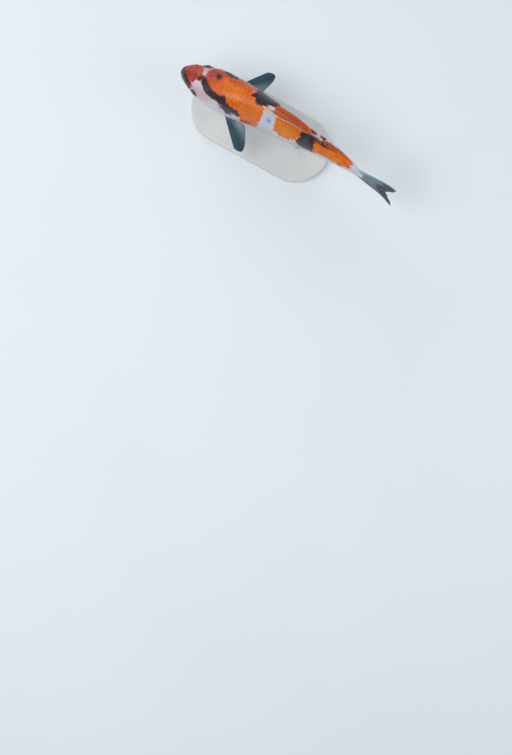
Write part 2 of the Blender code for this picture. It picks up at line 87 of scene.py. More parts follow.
# The rings of the body: course numbers them from the throat, out over the lips and back to the tail.
# mid is the height of a ring's widest level over the spine, half its half width, up and down its reach
# over and under mid, pull how far its sides are drawn back, n_up and n_down the powers of its halves.
COLUMNS = ("course", "along", "mid", "half", "up", "down", "pull", "n_up", "n_down")
RINGS = np.array((
    (-4.6, 4.2, -1.2, 1.1, 0.3, 0.3, 0.5, 2, 2),  # throat
    (-3, 2.65, -1.2, 1.7, 0.32, 0.3, 0.7, 2, 2),  # inside of the lips
    (-2.1, 1.98, -1.2, 2, 0.42, 0.38, 0.8, 2, 2),
    (-1.3, 1.55, -1.2, 2.3, 0.95, 0.85, 0.8, 2, 2),  # crest of the lips
    (-0.5, 1.8, -1.2, 2.5, 1.5, 1.35, 0.7, 2, 2),
    (0.3, 2.3, -1.1, 2.6, 1.8, 1.6, 0.5, 2, 2),  # groove behind the lips
    (1, 2.5, -0.9, 2.75, 2.65, 1.95, 0.35, 2, 2),
    (2, 3.05, -0.5, 3.1, 3.55, 2.45, 0.2, 2, 2),  # snout and chin
    (3.2, 4.05, -0.1, 3.7, 4.4, 3.2, 0.05, 2.1, 2.1),
    (6, 6.55, 0, 5.1, 5.95, 4.75, 0, 2.2, 2.1),
    (10, 10.3, 0, 6.75, 7.55, 6.15, 0, 2.3, 2.2),
    (15, 15.1, 0, 8.25, 9.3, 7.7, 0, 2.4, 2.2),
    (20, 20, 0, 9, 10.8, 9.1, 0, 2.3, 2.3),  # gill covers
    (26, 26, 0, 9.2, 12.3, 10.4, 0, 2.2, 2.3),
    (34, 34, 0, 8.95, 13.7, 11.7, 0, 2.1, 2.3),
    (43, 43, 0, 7.95, 14.3, 12.3, 0, 2, 2.3),  # deepest, under the front of the dorsal fin
    (53, 53, 0, 6.95, 13.7, 12, 0, 2, 2.3),
    (63, 63, 0, 6.25, 12, 10.8, 0, 2, 2.2),
    (73, 73, 0, 5.1, 9.7, 8.9, 0, 2, 2.1),
    (83, 83, 0, 4.1, 7.4, 6.7, 0, 2, 2),
    (91, 91, 0, 3, 6.2, 5.5, 0, 2, 2),  # tail stalk
    (97, 97, 0, 1.75, 6, 5.4, 0, 2, 2),
    (100, 100, 0, 1.1, 6.05, 5.45, 0, 2, 2),
    (103, 103, 0, 0.48, 5.8, 5.3, 0, 2, 2),  # root of the tail fin
))
TAIL_COURSE = 103.0
NAPE, COVER_EDGE, THROAT = 22.5, 27.2, 21.5  # the head's rear edge at the back, the cheek and the belly
EDGE_MID, EDGE_REACH = 24.5, 6.5  # rings bend to follow that edge, by a bell with this middle and width

# Courses from, to and count of the skin's rings: close on the lips, the face and the gill covers' rims
SKIN_SPANS = ((-4.6, 3.2, 52), (3.2, 17.5, 120), (17.5, 22.5, 20), (22.5, 26.5, 44), (26.5, 103, 78))
SKIN_AROUND = 288
SKIN_SUNK = 0.32 * MM  # how deep the skin lies under the scales' outermost level

# Eyes: where each looks out of the head, how deep its centre sits, the half sizes of its ball across its
# look and along it, and the radius of its iris
EYE_COURSE, EYE_ANGLE, EYE_SUNK = 12.4, math.radians(75), 1.15
EYE_ROUND, EYE_FLAT, EYE_SHOWS = 2.75, 1.7, 2.05


# -------------------- the body as a formula


def smooth_through(xs, ys, x):
    """The smooth curve through the points (xs, ys), read at x: cubics whose slope at each point is the
    slope between that point's neighbours."""
    slopes = np.gradient(ys, xs)
    i = np.clip(np.searchsorted(xs, x) - 1, 0, len(xs) - 2)
    step = xs[i + 1] - xs[i]
    t = (x - xs[i]) / step
    rise = ys[i + 1] - ys[i]
    bend_in, bend_out = slopes[i] * step, slopes[i + 1] * step
    square, cube = 3 * rise - 2 * bend_in - bend_out, bend_in + bend_out - 2 * rise
    return ys[i] + t * bend_in + t**2 * square + t**3 * cube


def smooth_step(low, high, x):
    """0 below low, 1 above high, and between them 3t^2 - 2t^3 of the share t."""
    t = np.clip((x - low) / (high - low), 0, 1)
    return t * t * (3 - 2 * t)


def evenly(pair, share):
    """The value that is a share of the way from the first of a pair to the second."""
    return pair[0] + (pair[1] - pair[0]) * share


def window(start, full, fades, end, x):
    """0 outside start and end and 1 from full to fades, with a smooth step each way."""
    return smooth_step(start, full, x) * smooth_step(end, fades, x)


def running_sum(steps):
    """0, then the sum of the steps so far, along the last axis."""
    sums = np.cumsum(steps, axis=-1)
    return np.concatenate((0 * sums[..., :1], sums), axis=-1)


def bell(x, width):
    """A bell of height 1: e to the minus (x / width) squared."""
    return np.exp(-((x / width) ** 2))


def ring_value(column, course):
    """A column of RINGS at a course, smooth through the rings."""
    return smooth_through(RINGS[:, 0], RINGS[:, COLUMNS.index(column)], course)


TURNS = np.array(SPINE_TURNS, float)


def turn_at(station):
    """The spine's direction, in radians from +X towards the left."""
    return np.radians(smooth_through(TURNS[:, 0], TURNS[:, 1], np.asarray(station, float)))


SPINE_STEP = 0.1
SPINE_STEPS = np.linspace(-10, 140, 1501)
spine_headings = np.column_stack((np.cos(turn_at(SPINE_STEPS)), -np.sin(turn_at(SPINE_STEPS))))
SPINE_XY = np.cumsum(spine_headings * PERCENT * SPINE_STEP, axis=0)
STAND_XY = [np.interp(STAND_STATION, SPINE_STEPS, SPINE_XY[:, k]) for k in (0, 1)]


def place(station, side, height):
    """World points from distances behind the snout, to the left and over the spine, in percent: the
    spine's point there, moved along its own left and up."""
    station, side, height = np.broadcast_arrays(*(np.asarray(v, float) for v in (station, side, height)))
    x, y = (np.interp(station, SPINE_STEPS, SPINE_XY[:, k]) - STAND_XY[k] + SPINE_AT[k] for k in (0, 1))
    turn, left = turn_at(station), side * PERCENT
    x, y = x - left * np.sin(turn), y - left * np.cos(turn)
    return np.stack((x, y, AXIS_HEIGHT + height * PERCENT), axis=-1)


def signed_power(value, power):
    """value's size raised to power, with its own sign."""
    return np.sign(value) * np.abs(value) ** power


def body_place(course, angle):
    """Station, side and height of the body's surface: superellipses, angle 0 on the back, a quarter turn
    on the left side and a half turn on the belly."""
    course, angle = np.broadcast_arrays(np.asarray(course, float), np.asarray(angle, float))
    over = np.cos(angle) >= 0
    power = 2 / np.where(over, ring_value("n_up", course), ring_value("n_down", course))
    reach = np.where(over, ring_value("up", course), ring_value("down", course))
    side = ring_value("half", course) * signed_power(np.sin(angle), power)
    height = ring_value("mid", course) + reach * signed_power(np.cos(angle), power)
    station = ring_value("along", course) + ring_value("pull", course) * np.abs(np.sin(angle)) ** 3
    return station, side, height


def surface(course, angle):
    """World points of the body's surface: body_place's superellipses set on the bent spine."""
    return place(*body_place(course, angle))


def unit(vectors):
    """Each vector made 1 long."""
    return vectors / np.maximum(np.linalg.norm(vectors, axis=-1, keepdims=True), 1e-12)


def body_normal(course, angle):
    """The body's outward unit normal: the cross product of its slopes round and along the body."""
    step = 0.01
    round_left = surface(course, angle + step) - surface(course, angle - step)
    back = surface(course + step, angle) - surface(course - step, angle)
    return unit(np.cross(round_left, back))


def head_edge(angle):
    """The course of the head's rear edge: an S from the nape over the gill cover to the throat."""
    end = np.where(np.cos(angle) >= 0, NAPE, THROAT)
    return evenly((end, COVER_EDGE), np.sin(angle) ** 2)


# For each of TABLE_STATIONS, GIRTHS gives the girth at each of TABLE_ANGLES, down the left half, and
# ANGLE_OF_SHARE the angle at each of SHARES of the half girth
TABLE_STATIONS = np.linspace(1, TAIL_COURSE, 205)
TABLE_ANGLES = np.linspace(0, math.pi, 181)
half_rings = surface(TABLE_STATIONS[:, None], TABLE_ANGLES[None, :])
GIRTHS = running_sum(np.linalg.norm(np.diff(half_rings, axis=1), axis=-1) / PERCENT)
SHARES = np.linspace(0, 1, 161)
ANGLE_OF_SHARE = np.array([np.interp(SHARES, row / row[-1], TABLE_ANGLES) for row in GIRTHS])


def half_girth(station):
    """Ridge of the back to middle of the belly, round one side."""
    return np.interp(station, TABLE_STATIONS, GIRTHS[:, -1])


def angle_at(station, girth):
    """The angle of a place on the skin from its station and girth, read between four values of the table.
    A girth past the belly comes up the other side."""
    share = np.mod(girth / half_girth(station) + 1, 2) - 1
    row = (station - TABLE_STATIONS[0]) / (TABLE_STATIONS[1] - TABLE_STATIONS[0])
    row = np.clip(row, 0, len(TABLE_STATIONS) - 1.001)
    column = np.clip(np.abs(share) * (len(SHARES) - 1), 0, len(SHARES) - 1.001)
    i, j = row.astype(int), column.astype(int)
    a, b = row - i, column - j
    near = ANGLE_OF_SHARE[i, j] * (1 - b) + ANGLE_OF_SHARE[i, j + 1] * b
    far = ANGLE_OF_SHARE[i + 1, j] * (1 - b) + ANGLE_OF_SHARE[i + 1, j + 1] * b
    return np.sign(share) * (near * (1 - a) + far * a)


# -------------------- the koi's markings

# Patches as outlines of (station, girth).  Orange and black lie over a pearl white ground.
ORANGE_PATCHES = {
    "crown": (
        (3.7, 0.2), (4.3, -1.2), (4.8, -3.6), (6, -6.4), (8, -7.2), (10.4, -6.6), (11.9, -4.6),
        (12.5, -2.6), (12.5, -0.4), (11.9, 1), (11.4, 2.6), (10.6, 4.2), (9, 4.2), (7.8, 3.4),
        (6.2, 2.1), (4.8, 1.1),
    ),
    "saddle": (
        (14.9, -1.4), (16.2, 0.9), (19.3, 2.6), (21.2, 4.3), (25.5, 5.9), (29.5, 6.9), (33.5, 9.6),
        (36.5, 11.2), (36.9, 14), (38, 18.5), (43, 19.5), (46.3, 18), (47, 10), (47.8, 2), (46.9, 0.8),
        (42, 1.2), (39.8, -1.6), (38.8, -4.2), (38.4, -8), (38.6, -11.2), (34, -12), (30.5, -11.4),
        (28.6, -9.4), (26, -8.4), (23.5, -9.4), (20.5, -10.2), (17.4, -8.8), (15.6, -6.2), (14.7, -3.6),
    ),
    "loin_right": (
        (50.6, -4.8), (51.4, -2.2), (51.2, -0.6), (52.6, 0.3), (60, 0.3), (67, -0.2), (72, -0.6),
        (72.8, -2.2), (70, -3.2), (66, -4.2), (60, -5.6), (54, -6),
    ),
    "loin_left": (
        (54.2, 2), (55, 0.6), (60, 0.2), (66.8, 0.2), (67.4, 3), (66.3, 7), (64, 10.8), (61, 12.6),
        (57.5, 12.6), (54.8, 10), (53.9, 6),
    ),
    "stalk_left": (
        (75, 0.6), (80, 0), (88, 0), (94, 0.2), (96.2, 2.2), (95.6, 4.2), (92.5, 5.2), (86, 6.8),
        (80, 7.8), (76.5, 8.2), (74.8, 4.5),
    ),
    "stalk_right": (
        (76.5, 0.2), (78, -2.2), (84, -3.2), (90, -3.2), (94.5, -2.4), (96, -0.8), (96, 1), (88, 1),
    ),
}
BLACK_PATCHES = {
    "snout": (
        (0.5, -4.6), (3, -3.9), (3.7, -1.6), (3.8, 0.2), (4.8, 1.4), (6.3, 2.6), (7.9, 4), (9.4, 4.9),
        (10.4, 6.2), (10.6, 8.4), (9.4, 10), (6.5, 9.4), (4.2, 7.4), (2.6, 6), (0.5, 5.4),
    ),
    "brow_right": ((10.4, -6.6), (12.4, -5.9), (14.6, -6.6), (15.2, -7.8), (13.8, -9.4), (11, -9.4)),
    "nape": ((11.8, 0.4), (12.8, -0.4), (14.2, 0.4), (13.6, 1.5), (12.2, 1.9)),
    "shoulder": (
        (13.6, -0.4), (15.7, -0.6), (17.2, 1.3), (19.4, 2.6), (21.4, 3.9), (24.5, 4.6), (26.5, 4.2),
        (28.8, 5.2), (30.5, 7.6), (32.5, 8.2), (35.5, 9), (37.4, 11), (37.6, 14.4), (35.2, 12.9),
        (33.2, 12.6), (32.8, 15.6), (30.6, 16.2), (28.6, 13.6), (26.8, 10), (24.5, 8.6), (21.6, 7.9),
        (19, 6.9), (16.4, 5.2), (14.4, 2.9),
    ),
    "spot": ((19.4, -4.4), (20.6, -5), (22.4, -4.4), (22.5, -2.6), (20.8, -1.9), (19.5, -2.6)),
    "streak": ((21.6, -8.6), (23.5, -7), (29.2, -6.5), (30.6, -8), (28.2, -10.8), (22.8, -11)),
    "flank_right": (
        (39.2, -2.4), (40.8, -0.6), (43, 0.6), (46.6, 0.9), (47.2, -0.6), (50.2, -2.9), (52.6, -5.4),
        (52.3, -9.5), (48, -12.5), (43, -12.8), (40, -10.2), (38.6, -7.6), (40.3, -4.8),
    ),
    "flank_left": (
        (66.9, 0.5), (70, 0.2), (74.8, 0.2), (75.2, 3), (75.6, 7), (76.5, 10.2), (72, 11.6), (68, 11.6),
        (66.4, 8.6), (67.3, 4),
    ),
    "fleck": ((71, -3), (73, -2.9), (73.2, -1.7), (71.4, -1.6)),
    "dash": ((75.3, -3.7), (78.5, -3.6), (78.8, -2.1), (75.8, -1.9)),
    "ridge": ((75, -0.3), (82, -0.2), (88.5, 0.4), (82, 1.2), (75, 1.5)),
    "dot": ((89.6, 5.2), (91, 5.2), (91.2, 6.3), (89.8, 6.4)),
}
# Clouds of tint as (station, girth, half length, half width, amount): where the orange turns red, or gold
# where the amount is less than 0, where the white turns blue, and where it blushes.  The red clouds on the
# right flank at stations 31 and 60 are partly painted shade.  The blush is a pink flush made dark enough
# to be partly painted shade on the white.
RED_AND_SHADE_PLACES = (
    (7.5, 0, 8.5, 9, 1), (18, -3.5, 4.2, 4.5, 0.85), (60, -3.2, 12, 2.6, 0.75),
    (24, -8, 5, 2.2, 0.5), (86, -2.6, 9, 2, 0.75), (42, 19, 8, 4, 0.4),
    (20.5, 4.5, 5, 2.5, 0.5), (60, 6, 7, 5, -0.7), (44, 8, 5, 6, -0.3),
    (84, 4, 8, 3, -0.4), (30, 1, 7, 3, -0.25), (31, -8.5, 9, 3, 0.45),
)
BLUSH_AND_SHADE_PLACES = (
    (14, -3.5, 3.5, 4, 0.9), (17, 8, 7, 3.5, 0.8), (47, 1.5, 3, 2, 0.6),
    (29, 11, 4, 3, 0.4), (12, 7, 3, 3, 0.4),
)
BLUE_PLACES = ((51, 5.7, 1.5, 1.7, 1), (49.5, 14, 4, 6, 0.25), (70, 12.5, 4, 2.5, 0.8))
UNDER_BLACK, SEAM_FILL = 2.0, 0.7  # how far orange runs on under black that touches it, and past its edge


def line_distance(station, height, line):
    """The distance from each place to a chain of straight pieces, all in percent."""
    nearest = np.full(station.shape, 1e9)
    for (s0, h0), (s1, h1) in zip(line, line[1:]):
        ds, dh = s1 - s0, h1 - h0
        t = np.clip(((station - s0) * ds + (height - h0) * dh) / (ds * ds + dh * dh), 0, 1)
        nearest = np.minimum(nearest, np.hypot(station - s0 - t * ds, height - h0 - t * dh))
    return nearest


def inside_distance(station, girth, outline):
    """How far a place lies inside an outline, in percent, and less than 0 outside it: the distance to the
    nearest side, with its sign from the number of sides that a line ahead of it crosses."""
    closed = outline + outline[:1]
    inside = np.zeros(station.shape, bool)
    for (s0, g0), (s1, g1) in zip(closed, closed[1:]):
        if g0 != g1:
            ahead = station < s0 + (girth - g0) * (s1 - s0) / (g1 - g0)
            inside ^= ((g0 > girth) != (g1 > girth)) & ahead
    nearest = line_distance(station, girth, closed)
    return np.where(inside, nearest, -nearest)


def cloud(station, girth, places):
    """The sum of soft ovals: each amount times a bell of the place's distance from its middle."""
    return sum(
        amount * np.exp(-(((station - s) / long) ** 2) - ((girth - g) / wide) ** 2)
        for s, g, long, wide, amount in places
    )


def markings(station, girth):
    """The values that the pigment reads: distance inside orange and inside black, and the clouds' tints,
    partly painted shade.
    """
    orange, black = (
        np.maximum.reduce([inside_distance(station, girth, outline) for outline in patches.values()])
        for patches in (ORANGE_PATCHES, BLACK_PATCHES)
    )
    return {
        "orange": np.maximum(orange, np.minimum(orange + UNDER_BLACK, black + SEAM_FILL)),
        "black": black,
        "redness": np.clip(cloud(station, girth, RED_AND_SHADE_PLACES), -1, 1),
        "blush": np.clip(cloud(station, girth, BLUSH_AND_SHADE_PLACES), 0, 1),
        "blueness": np.clip(cloud(station, girth, BLUE_PLACES), 0, 1),
    }


# -------------------- making pieces


def turns_of(count):
    """Angles that divide a full turn evenly."""
    return np.arange(count) * 2 * math.pi / count


def grid_faces(rows, columns, ring):
    """The quads of a grid of points numbered row by row; ring joins its last column to its first."""
    i = np.arange(rows - 1)[:, None] * columns
    j = np.arange(columns if ring else columns - 1)[None, :]
    k = (j + 1) % columns
    corners = np.broadcast_arrays(i + j, i + k, i + columns + k, i + columns + j)
    return np.stack(corners, axis=-1).reshape(-1, 4)


def closed_rings(points, ends):
    """Points and faces of a grid of rings, closed by a fan of triangles to a point at each end."""
    rows, columns, _ = points.shape
    ring = np.arange(columns)
    after = (ring + 1) % columns
    total, last = rows * columns, (rows - 1) * columns
    fans = np.concatenate((
        np.stack((after, ring, np.full(columns, total)), axis=1),
        np.stack((last + ring, last + after, np.full(columns, total + 1)), axis=1),
    ))
    return np.concatenate((points.reshape(-1, 3), ends)), [grid_faces(rows, columns, True), fans]


def signed_volume(points, faces):
    """Six times the volume inside: the sum over each face's triangles of a . (b x c)."""
    total = 0.0
    for group in faces:
        for k in range(1, group.shape[1] - 1):
            a, b, c = (points[group[:, n]] for n in (0, k, k + 1))
            total += np.einsum("ij,ij->", a, np.cross(b, c))
    return total


def make_piece(name, points, faces, material, values=None, maps=None, sharp=None):
    """A mesh object from an array of points and arrays of faces, turned outwards.  values are numbers
    held by the points, maps are UV maps as one (u, v) for each corner in the order of the faces."""
    middle = points.mean(axis=0)
    turned = signed_volume(points - middle, faces) < 0
    if turned:
        faces = [group[:, ::-1] for group in faces]
    corners = np.concatenate([group.ravel() for group in faces]).astype(np.int32)
    sizes = np.concatenate([np.full(len(group), group.shape[1]) for group in faces])
    mesh = bpy.data.meshes.new(name)
    mesh.vertices.add(len(points))
    mesh.vertices.foreach_set("co", points.astype(np.float32).ravel())
    mesh.loops.add(len(corners))
    mesh.loops.foreach_set("vertex_index", corners)
    mesh.polygons.add(len(sizes))
    mesh.polygons.foreach_set("loop_start", running_sum(sizes)[:-1].astype(np.int32))
    mesh.update(calc_edges=True)
    mesh.polygons.foreach_set("use_smooth", np.ones(len(sizes), bool))
    for key, numbers in (values or {}).items():
        layer = mesh.attributes.new(key, "FLOAT", "POINT")
        layer.data.foreach_set("value", np.asarray(numbers, np.float32).ravel())
    for key, groups in (maps or {}).items():
        if turned:
            groups = [group[:, ::-1] for group in groups]
        corner_places = np.concatenate([group.reshape(-1, 2) for group in groups])
        mesh.uv_layers.new(name=key).data.foreach_set("uv", corner_places.astype(np.float32).ravel())
    if sharp:
        mesh.set_sharp_from_angle(angle=math.radians(sharp))
    mesh.materials.append(material)
    obj = new_object(name, mesh)
    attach(obj, "root")
    return obj


# -------------------- materials

VALUE, COLOUR, VECTOR = "NodeSocketFloat", "NodeSocketColor", "NodeSocketVector"


def shade(red, green, blue):
    """A colour from its display values, 0 to 255, as linear light."""
    value = np.array((red, green, blue)) / 255
    linear = np.where(value <= 0.04045, value / 12.92, ((value + 0.055) / 1.055) ** 2.4)
    return (*map(float, linear), 1.0)


class Wire:
    """A value, colour or vector on its way through a node tree.  +, - and * of values make Math nodes."""

    def __init__(self, socket):
        self.socket, self.tree = socket, socket.id_data

    def maths(self, operation, other=0.0, clamp=False):
        """The Math node's operation on this value, and on another where it takes two."""
        return put(self.tree, "ShaderNodeMath", {0: self, 1: other}, operation=operation, use_clamp=clamp)

    def __add__(self, other):
        return self.maths("ADD", other)

    def __sub__(self, other):
        return self.maths("SUBTRACT", other)

    def __mul__(self, other):
        return self.maths("MULTIPLY", other)


def connect(node, sockets):
    """Link wires to a node's inputs and set the other values there."""
    for key, value in sockets.items():
        if isinstance(value, Wire):
            value.tree.links.new(value.socket, node.inputs[key])
        else:
            node.inputs[key].default_value = value


def put(tree, kind, sockets=None, output=0, **settings):
    """A new node with its settings and inputs, as the wire from one of its outputs."""
    node = tree.nodes.new(kind)
    for key, value in settings.items():
        setattr(node, key, value)
    connect(node, sockets or {})
    return Wire(node.outputs[output])


def spread(value, low, high, to_low=0.0, to_high=1.0):
    """value's place between low and high, eased in and out, between to_low and to_high."""
    sockets = {"Value": value, "From Min": low, "From Max": high, "To Min": to_low, "To Max": to_high}
    return put(value.tree, "ShaderNodeMapRange", sockets, "Result", interpolation_type="SMOOTHSTEP")


def blend(share, first, second, blend_type="MIX"):
    """The colour that is share of the way from first to second."""
    tree = next(each.tree for each in (share, first, second) if isinstance(each, Wire))
    sockets = {"Factor": share, 6: first, 7: second}
    return put(tree, "ShaderNodeMix", sockets, 2, data_type="RGBA", blend_type=blend_type)


def grain(where, scale, detail=2.0, roughness=0.5):
    """Noise with about scale cells to the metre."""
    sockets = {"Vector": where, "Scale": scale, "Detail": detail, "Roughness": roughness}
    return put(where.tree, "ShaderNodeTexNoise", sockets, "Fac")


def held(tree, name):
    """A number held by the mesh's points."""
    return put(tree, "ShaderNodeAttribute", None, "Fac", attribute_name=name)


def object_place(tree):
    """Where a point is on the object, in metres."""
    return put(tree, "ShaderNodeTexCoord", None, "Object")


def bumped(height, distance, strength=1.0):
    """The normal of a surface raised by distance, in metres, where height is 1."""
    sockets = {"Height": height, "Distance": distance, "Strength": strength}
    return put(height.tree, "ShaderNodeBump", sockets)


def new_group(name, inputs, outputs):
    """A shader node group with sockets listed by their kinds: its tree, its inputs as wires by name, and
    its output node."""
    tree = bpy.data.node_groups.new(name, "ShaderNodeTree")
    for direction, kinds in (("INPUT", inputs), ("OUTPUT", outputs)):
        for kind, titles in kinds.items():
            for title in titles:
                tree.interface.new_socket(title, in_out=direction, socket_type=kind)
    given = tree.nodes.new("NodeGroupInput").outputs
    wires = {socket.name: Wire(socket) for socket in given if socket.name}
    return tree, wires, tree.nodes.new("NodeGroupOutput")


def use_group(tree, group, sockets):
    """A node group placed in a tree, as its outputs by name."""
    node = tree.nodes.new("ShaderNodeGroup")
    node.node_tree = group
    connect(node, sockets)
    return {socket.name: Wire(socket) for socket in node.outputs}


def new_material(name):
    """A material of nodes, and its tree."""
    material = bpy.data.materials.new(name)
    material.use_nodes = True
    return material, material.node_tree


def set_shader(material, **sockets):
    """Link or set the sockets of a material's shader; _ stands for the space in a socket's name."""
    shader = material.node_tree.nodes["Principled BSDF"]
    connect(shader, {key.replace("_", " "): value for key, value in sockets.items()})
    return material


PEARL, PEARL_WARM = shade(204, 208, 218), shade(214, 200, 202)
ORANGE, DEEP_ORANGE, GOLD = shade(228, 110, 18), shade(208, 90, 14), shade(222, 138, 30)
# the blush colour is a pink flush, dark enough to be partly painted shade
RED, DARK_RED, BLUSH_AND_SHADE = shade(178, 60, 48), shade(136, 42, 42), shade(194, 150, 160)
INK, INK_BLUE, CLOUD_BLUE = shade(20, 16, 24), shade(32, 38, 56), shade(140, 160, 202)
PIGMENT_INPUTS = ("Orange", "Black", "Redness", "Blueness", "Blush")


def koi_pigment():
    """Orange and black over pearl.  Each edge is where the distance inside its patch, roughened by two
    grains, crosses 0; black lets a little of the orange under it through."""
    tree, given, out = new_group(
        "koi pigment", {VALUE: PIGMENT_INPUTS}, {COLOUR: ("Color",), VALUE: ("Black Share", "Orange Share")}
    )
    where = object_place(tree)
    coarse, fine, broad = grain(where, 330, 3.0, 0.6), grain(where, 1500), grain(where, 90)
    ink_grain = grain(where, 520, 3.0, 0.65)
    rough_edge = (coarse * 1.5 - 0.75) + (fine * 0.6 - 0.3)
    orange = spread(given["Orange"] + rough_edge, -0.22, 0.22)
    black = spread(given["Black"] + (ink_grain * 2.0 - 1.0), -0.35, 0.45)

    ground = blend(spread(broad, 0.35, 0.7), PEARL, PEARL_WARM)
    # blush: a pink flush and painted shade on the white
    ground = blend(given["Blush"] * 0.8, ground, BLUSH_AND_SHADE)
    ground = blend(given["Blueness"], ground, CLOUD_BLUE)
    warm = blend(spread(broad, 0.3, 0.75), ORANGE, DEEP_ORANGE)
    warm = blend(given["Redness"].maths("MULTIPLY", -1.0, clamp=True), warm, GOLD)
    # redness: red pigment, and on the right flank painted shade
    redness = given["Redness"].maths("ADD", coarse * 0.3 - 0.15, clamp=True)
    warm = blend(redness, warm, blend(spread(coarse, 0.35, 0.7), RED, DARK_RED))
    coat = blend(orange, ground, warm)
    ink = blend(spread(fine, 0.35, 0.75), INK, INK_BLUE)
    coat = blend(black * (ink_grain * 0.1 + 0.9), coat, ink)
    connect(out, {"Color": coat, "Black Share": black, "Orange Share": orange})
    return tree


FOCUS = 0.45  # how far ahead of a scale's middle its rings of growth have their own
RING_WAVES, RAY_WAVES = 58.0, 26.0  # radians of the sines of its rings and of its rays


def scale_face():
    """One scale seen from above, from its own UV map, where its outline is the unit circle and +u points
    tailwards: rings of growth round its focus, fine rays to its rear edge, and that thin edge."""
    tree, given, out = new_group(
        "scale face", {VECTOR: ("UV",), VALUE: ("Pore",)}, {VALUE: ("Edge", "Height", "Pore Mark")}
    )
    u, v = (put(tree, "ShaderNodeSeparateXYZ", {0: given["UV"]}, k) for k in (0, 1))
    from_focus = u + FOCUS
    radius, focus_radius = ((along * along + v * v).maths("SQRT") for along in (u, from_focus))
    rings = (focus_radius * RING_WAVES).maths("SINE")
    rays = (v.maths("ARCTAN2", from_focus) * RAY_WAVES).maths("SINE") * spread(from_focus, 0.3, 1.3)
    tube = spread(v.maths("ABSOLUTE"), 0.16, 0.06) * spread(u, 0.0, 0.2) * spread(u, 0.85, 0.7)
    tube = tube * given["Pore"]
    height = rings * 0.16 + rays * 0.3 + tube * 2.2
    connect(out, {"Edge": spread(radius, 0.72, 1.0), "Height": height, "Pore Mark": tube})
    return tree


PIGMENT, SCALE_FACE = koi_pigment(), scale_face()


def pigment_in(tree):
    """The pigment, fed with the markings that the mesh holds."""
    return use_group(tree, PIGMENT, {title: held(tree, title.lower()) for title in PIGMENT_INPUTS})


def skin_material():
    """Wet smooth skin: pigment, flesh colour in the mouth and on the lips, painted shade in its creases and
    deep in the mouth, fine pores in its bump.
    """
    material, tree = new_material("koi_skin")
    where, pigment = object_place(tree), pigment_in(tree)
    fine, pores = grain(where, 2600, 3.0), grain(where, 800)
    colour = blend(held(tree, "flesh"), pigment["Color"], shade(214, 176, 172))
    # painted shade: the creases, pits and the inside of the mouth are darkened here
    colour = blend(held(tree, "crease") * 0.55, colour, shade(92, 62, 66))
    return set_shader(
        material, Base_Color=colour, Coat_Roughness=0.12, Coat_IOR=1.4, IOR=1.34,
        Roughness=spread(pores, 0.3, 0.7, 0.32, 0.46),
        Coat_Weight=spread(fine, 0.3, 0.8, 0.3, 0.18) * (pigment["Black Share"] * -0.6 + 1.0),
        Normal=bumped(fine * 0.5 + pores, 0.00006, 0.8),
    )


def scale_material():
    """Pigment with each scale's own tint, a paler middle and a thin darker rim, glossy as if wet."""
    material, tree = new_material("koi_scale")
    pigment, tint = pigment_in(tree), held(tree, "tint")
    uv = put(tree, "ShaderNodeUVMap", uv_map="Scale")
    face = use_group(tree, SCALE_FACE, {"UV": uv, "Pore": held(tree, "pore")})
    lit = blend(tint * 0.22, pigment["Color"], shade(255, 236, 214), "SOFT_LIGHT")
    rim = blend(1.0, lit, shade(198, 178, 174), "MULTIPLY")
    colour = blend(face["Edge"] * (pigment["Orange Share"] * 0.25 + 0.3), lit, rim)
    colour = blend(face["Pore Mark"] * 0.35, colour, shade(70, 54, 58))
    return set_shader(
        material, Base_Color=colour, Coat_Roughness=0.1, Coat_IOR=1.4, IOR=1.34,
        Roughness=spread(face["Edge"], 0.0, 1.0, 0.32, 0.42),
        Metallic=spread(grain(object_place(tree), 2200), 0.3, 0.8) * 0.06,
        Coat_Weight=spread(tint, 0.0, 1.0, 0.16, 0.3) * (pigment["Black Share"] * -0.6 + 1.0),
        Normal=bumped(face["Height"], 0.00004, 0.9),
    )


def eye_material():
    """Black pupil, a thin gold ring, and an iris of dark bronze clouds that darkens to its rim."""
    material, tree = new_material("koi_eye")
    radius, where = held(tree, "from_pupil"), object_place(tree)
    iris = blend(spread(grain(where, 900, 3.0, 0.6), 0.38, 0.62), shade(30, 24, 24), shade(84, 64, 48))
    iris = blend(spread(grain(where, 4200), 0.4, 0.8, 0.0, 0.3), iris, shade(150, 122, 84))
    iris = blend(spread(radius, 0.72, 0.98), iris, shade(22, 20, 24))
    colour = blend(spread(radius, 0.43, 0.46) * spread(radius, 0.53, 0.49), iris, shade(178, 138, 76))
    colour = blend(spread(radius, 0.45, 0.43), colour, shade(6, 6, 8))
    return set_shader(
        material, Base_Color=colour, Coat_Weight=0.7, Coat_Roughness=0.02, Coat_IOR=1.36, IOR=1.34,
        Roughness=spread(radius, 0.42, 0.5, 0.05, 0.28),
        Metallic=spread(radius, 0.46, 0.6) * 0.35,
    )


def barbel_material():
    """Pale flesh that fades to the tip, flecked with grey."""
    material, tree = new_material("barbel_flesh")
    where = object_place(tree)
    colour = blend(spread(held(tree, "outward"), 0.0, 0.9), shade(204, 168, 164), shade(232, 214, 206))
    colour = blend(spread(grain(where, 700), 0.45, 0.75, 0.0, 0.5), colour, shade(130, 98, 102))
    return set_shader(
        material, Base_Color=colour, Coat_Weight=0.4, Coat_Roughness=0.15,
        Roughness=spread(grain(where, 1500), 0.3, 0.7, 0.3, 0.45),
        Normal=bumped(grain(where, 2500), 0.00005, 0.7),
    )


FIN_PLACES = ("Ray", "Outward", "Sheer", "Warm", "Dark", "Line")
FIN_TINTS = ("Root", "Middle", "Rim", "Ray Tint", "Line Tint")
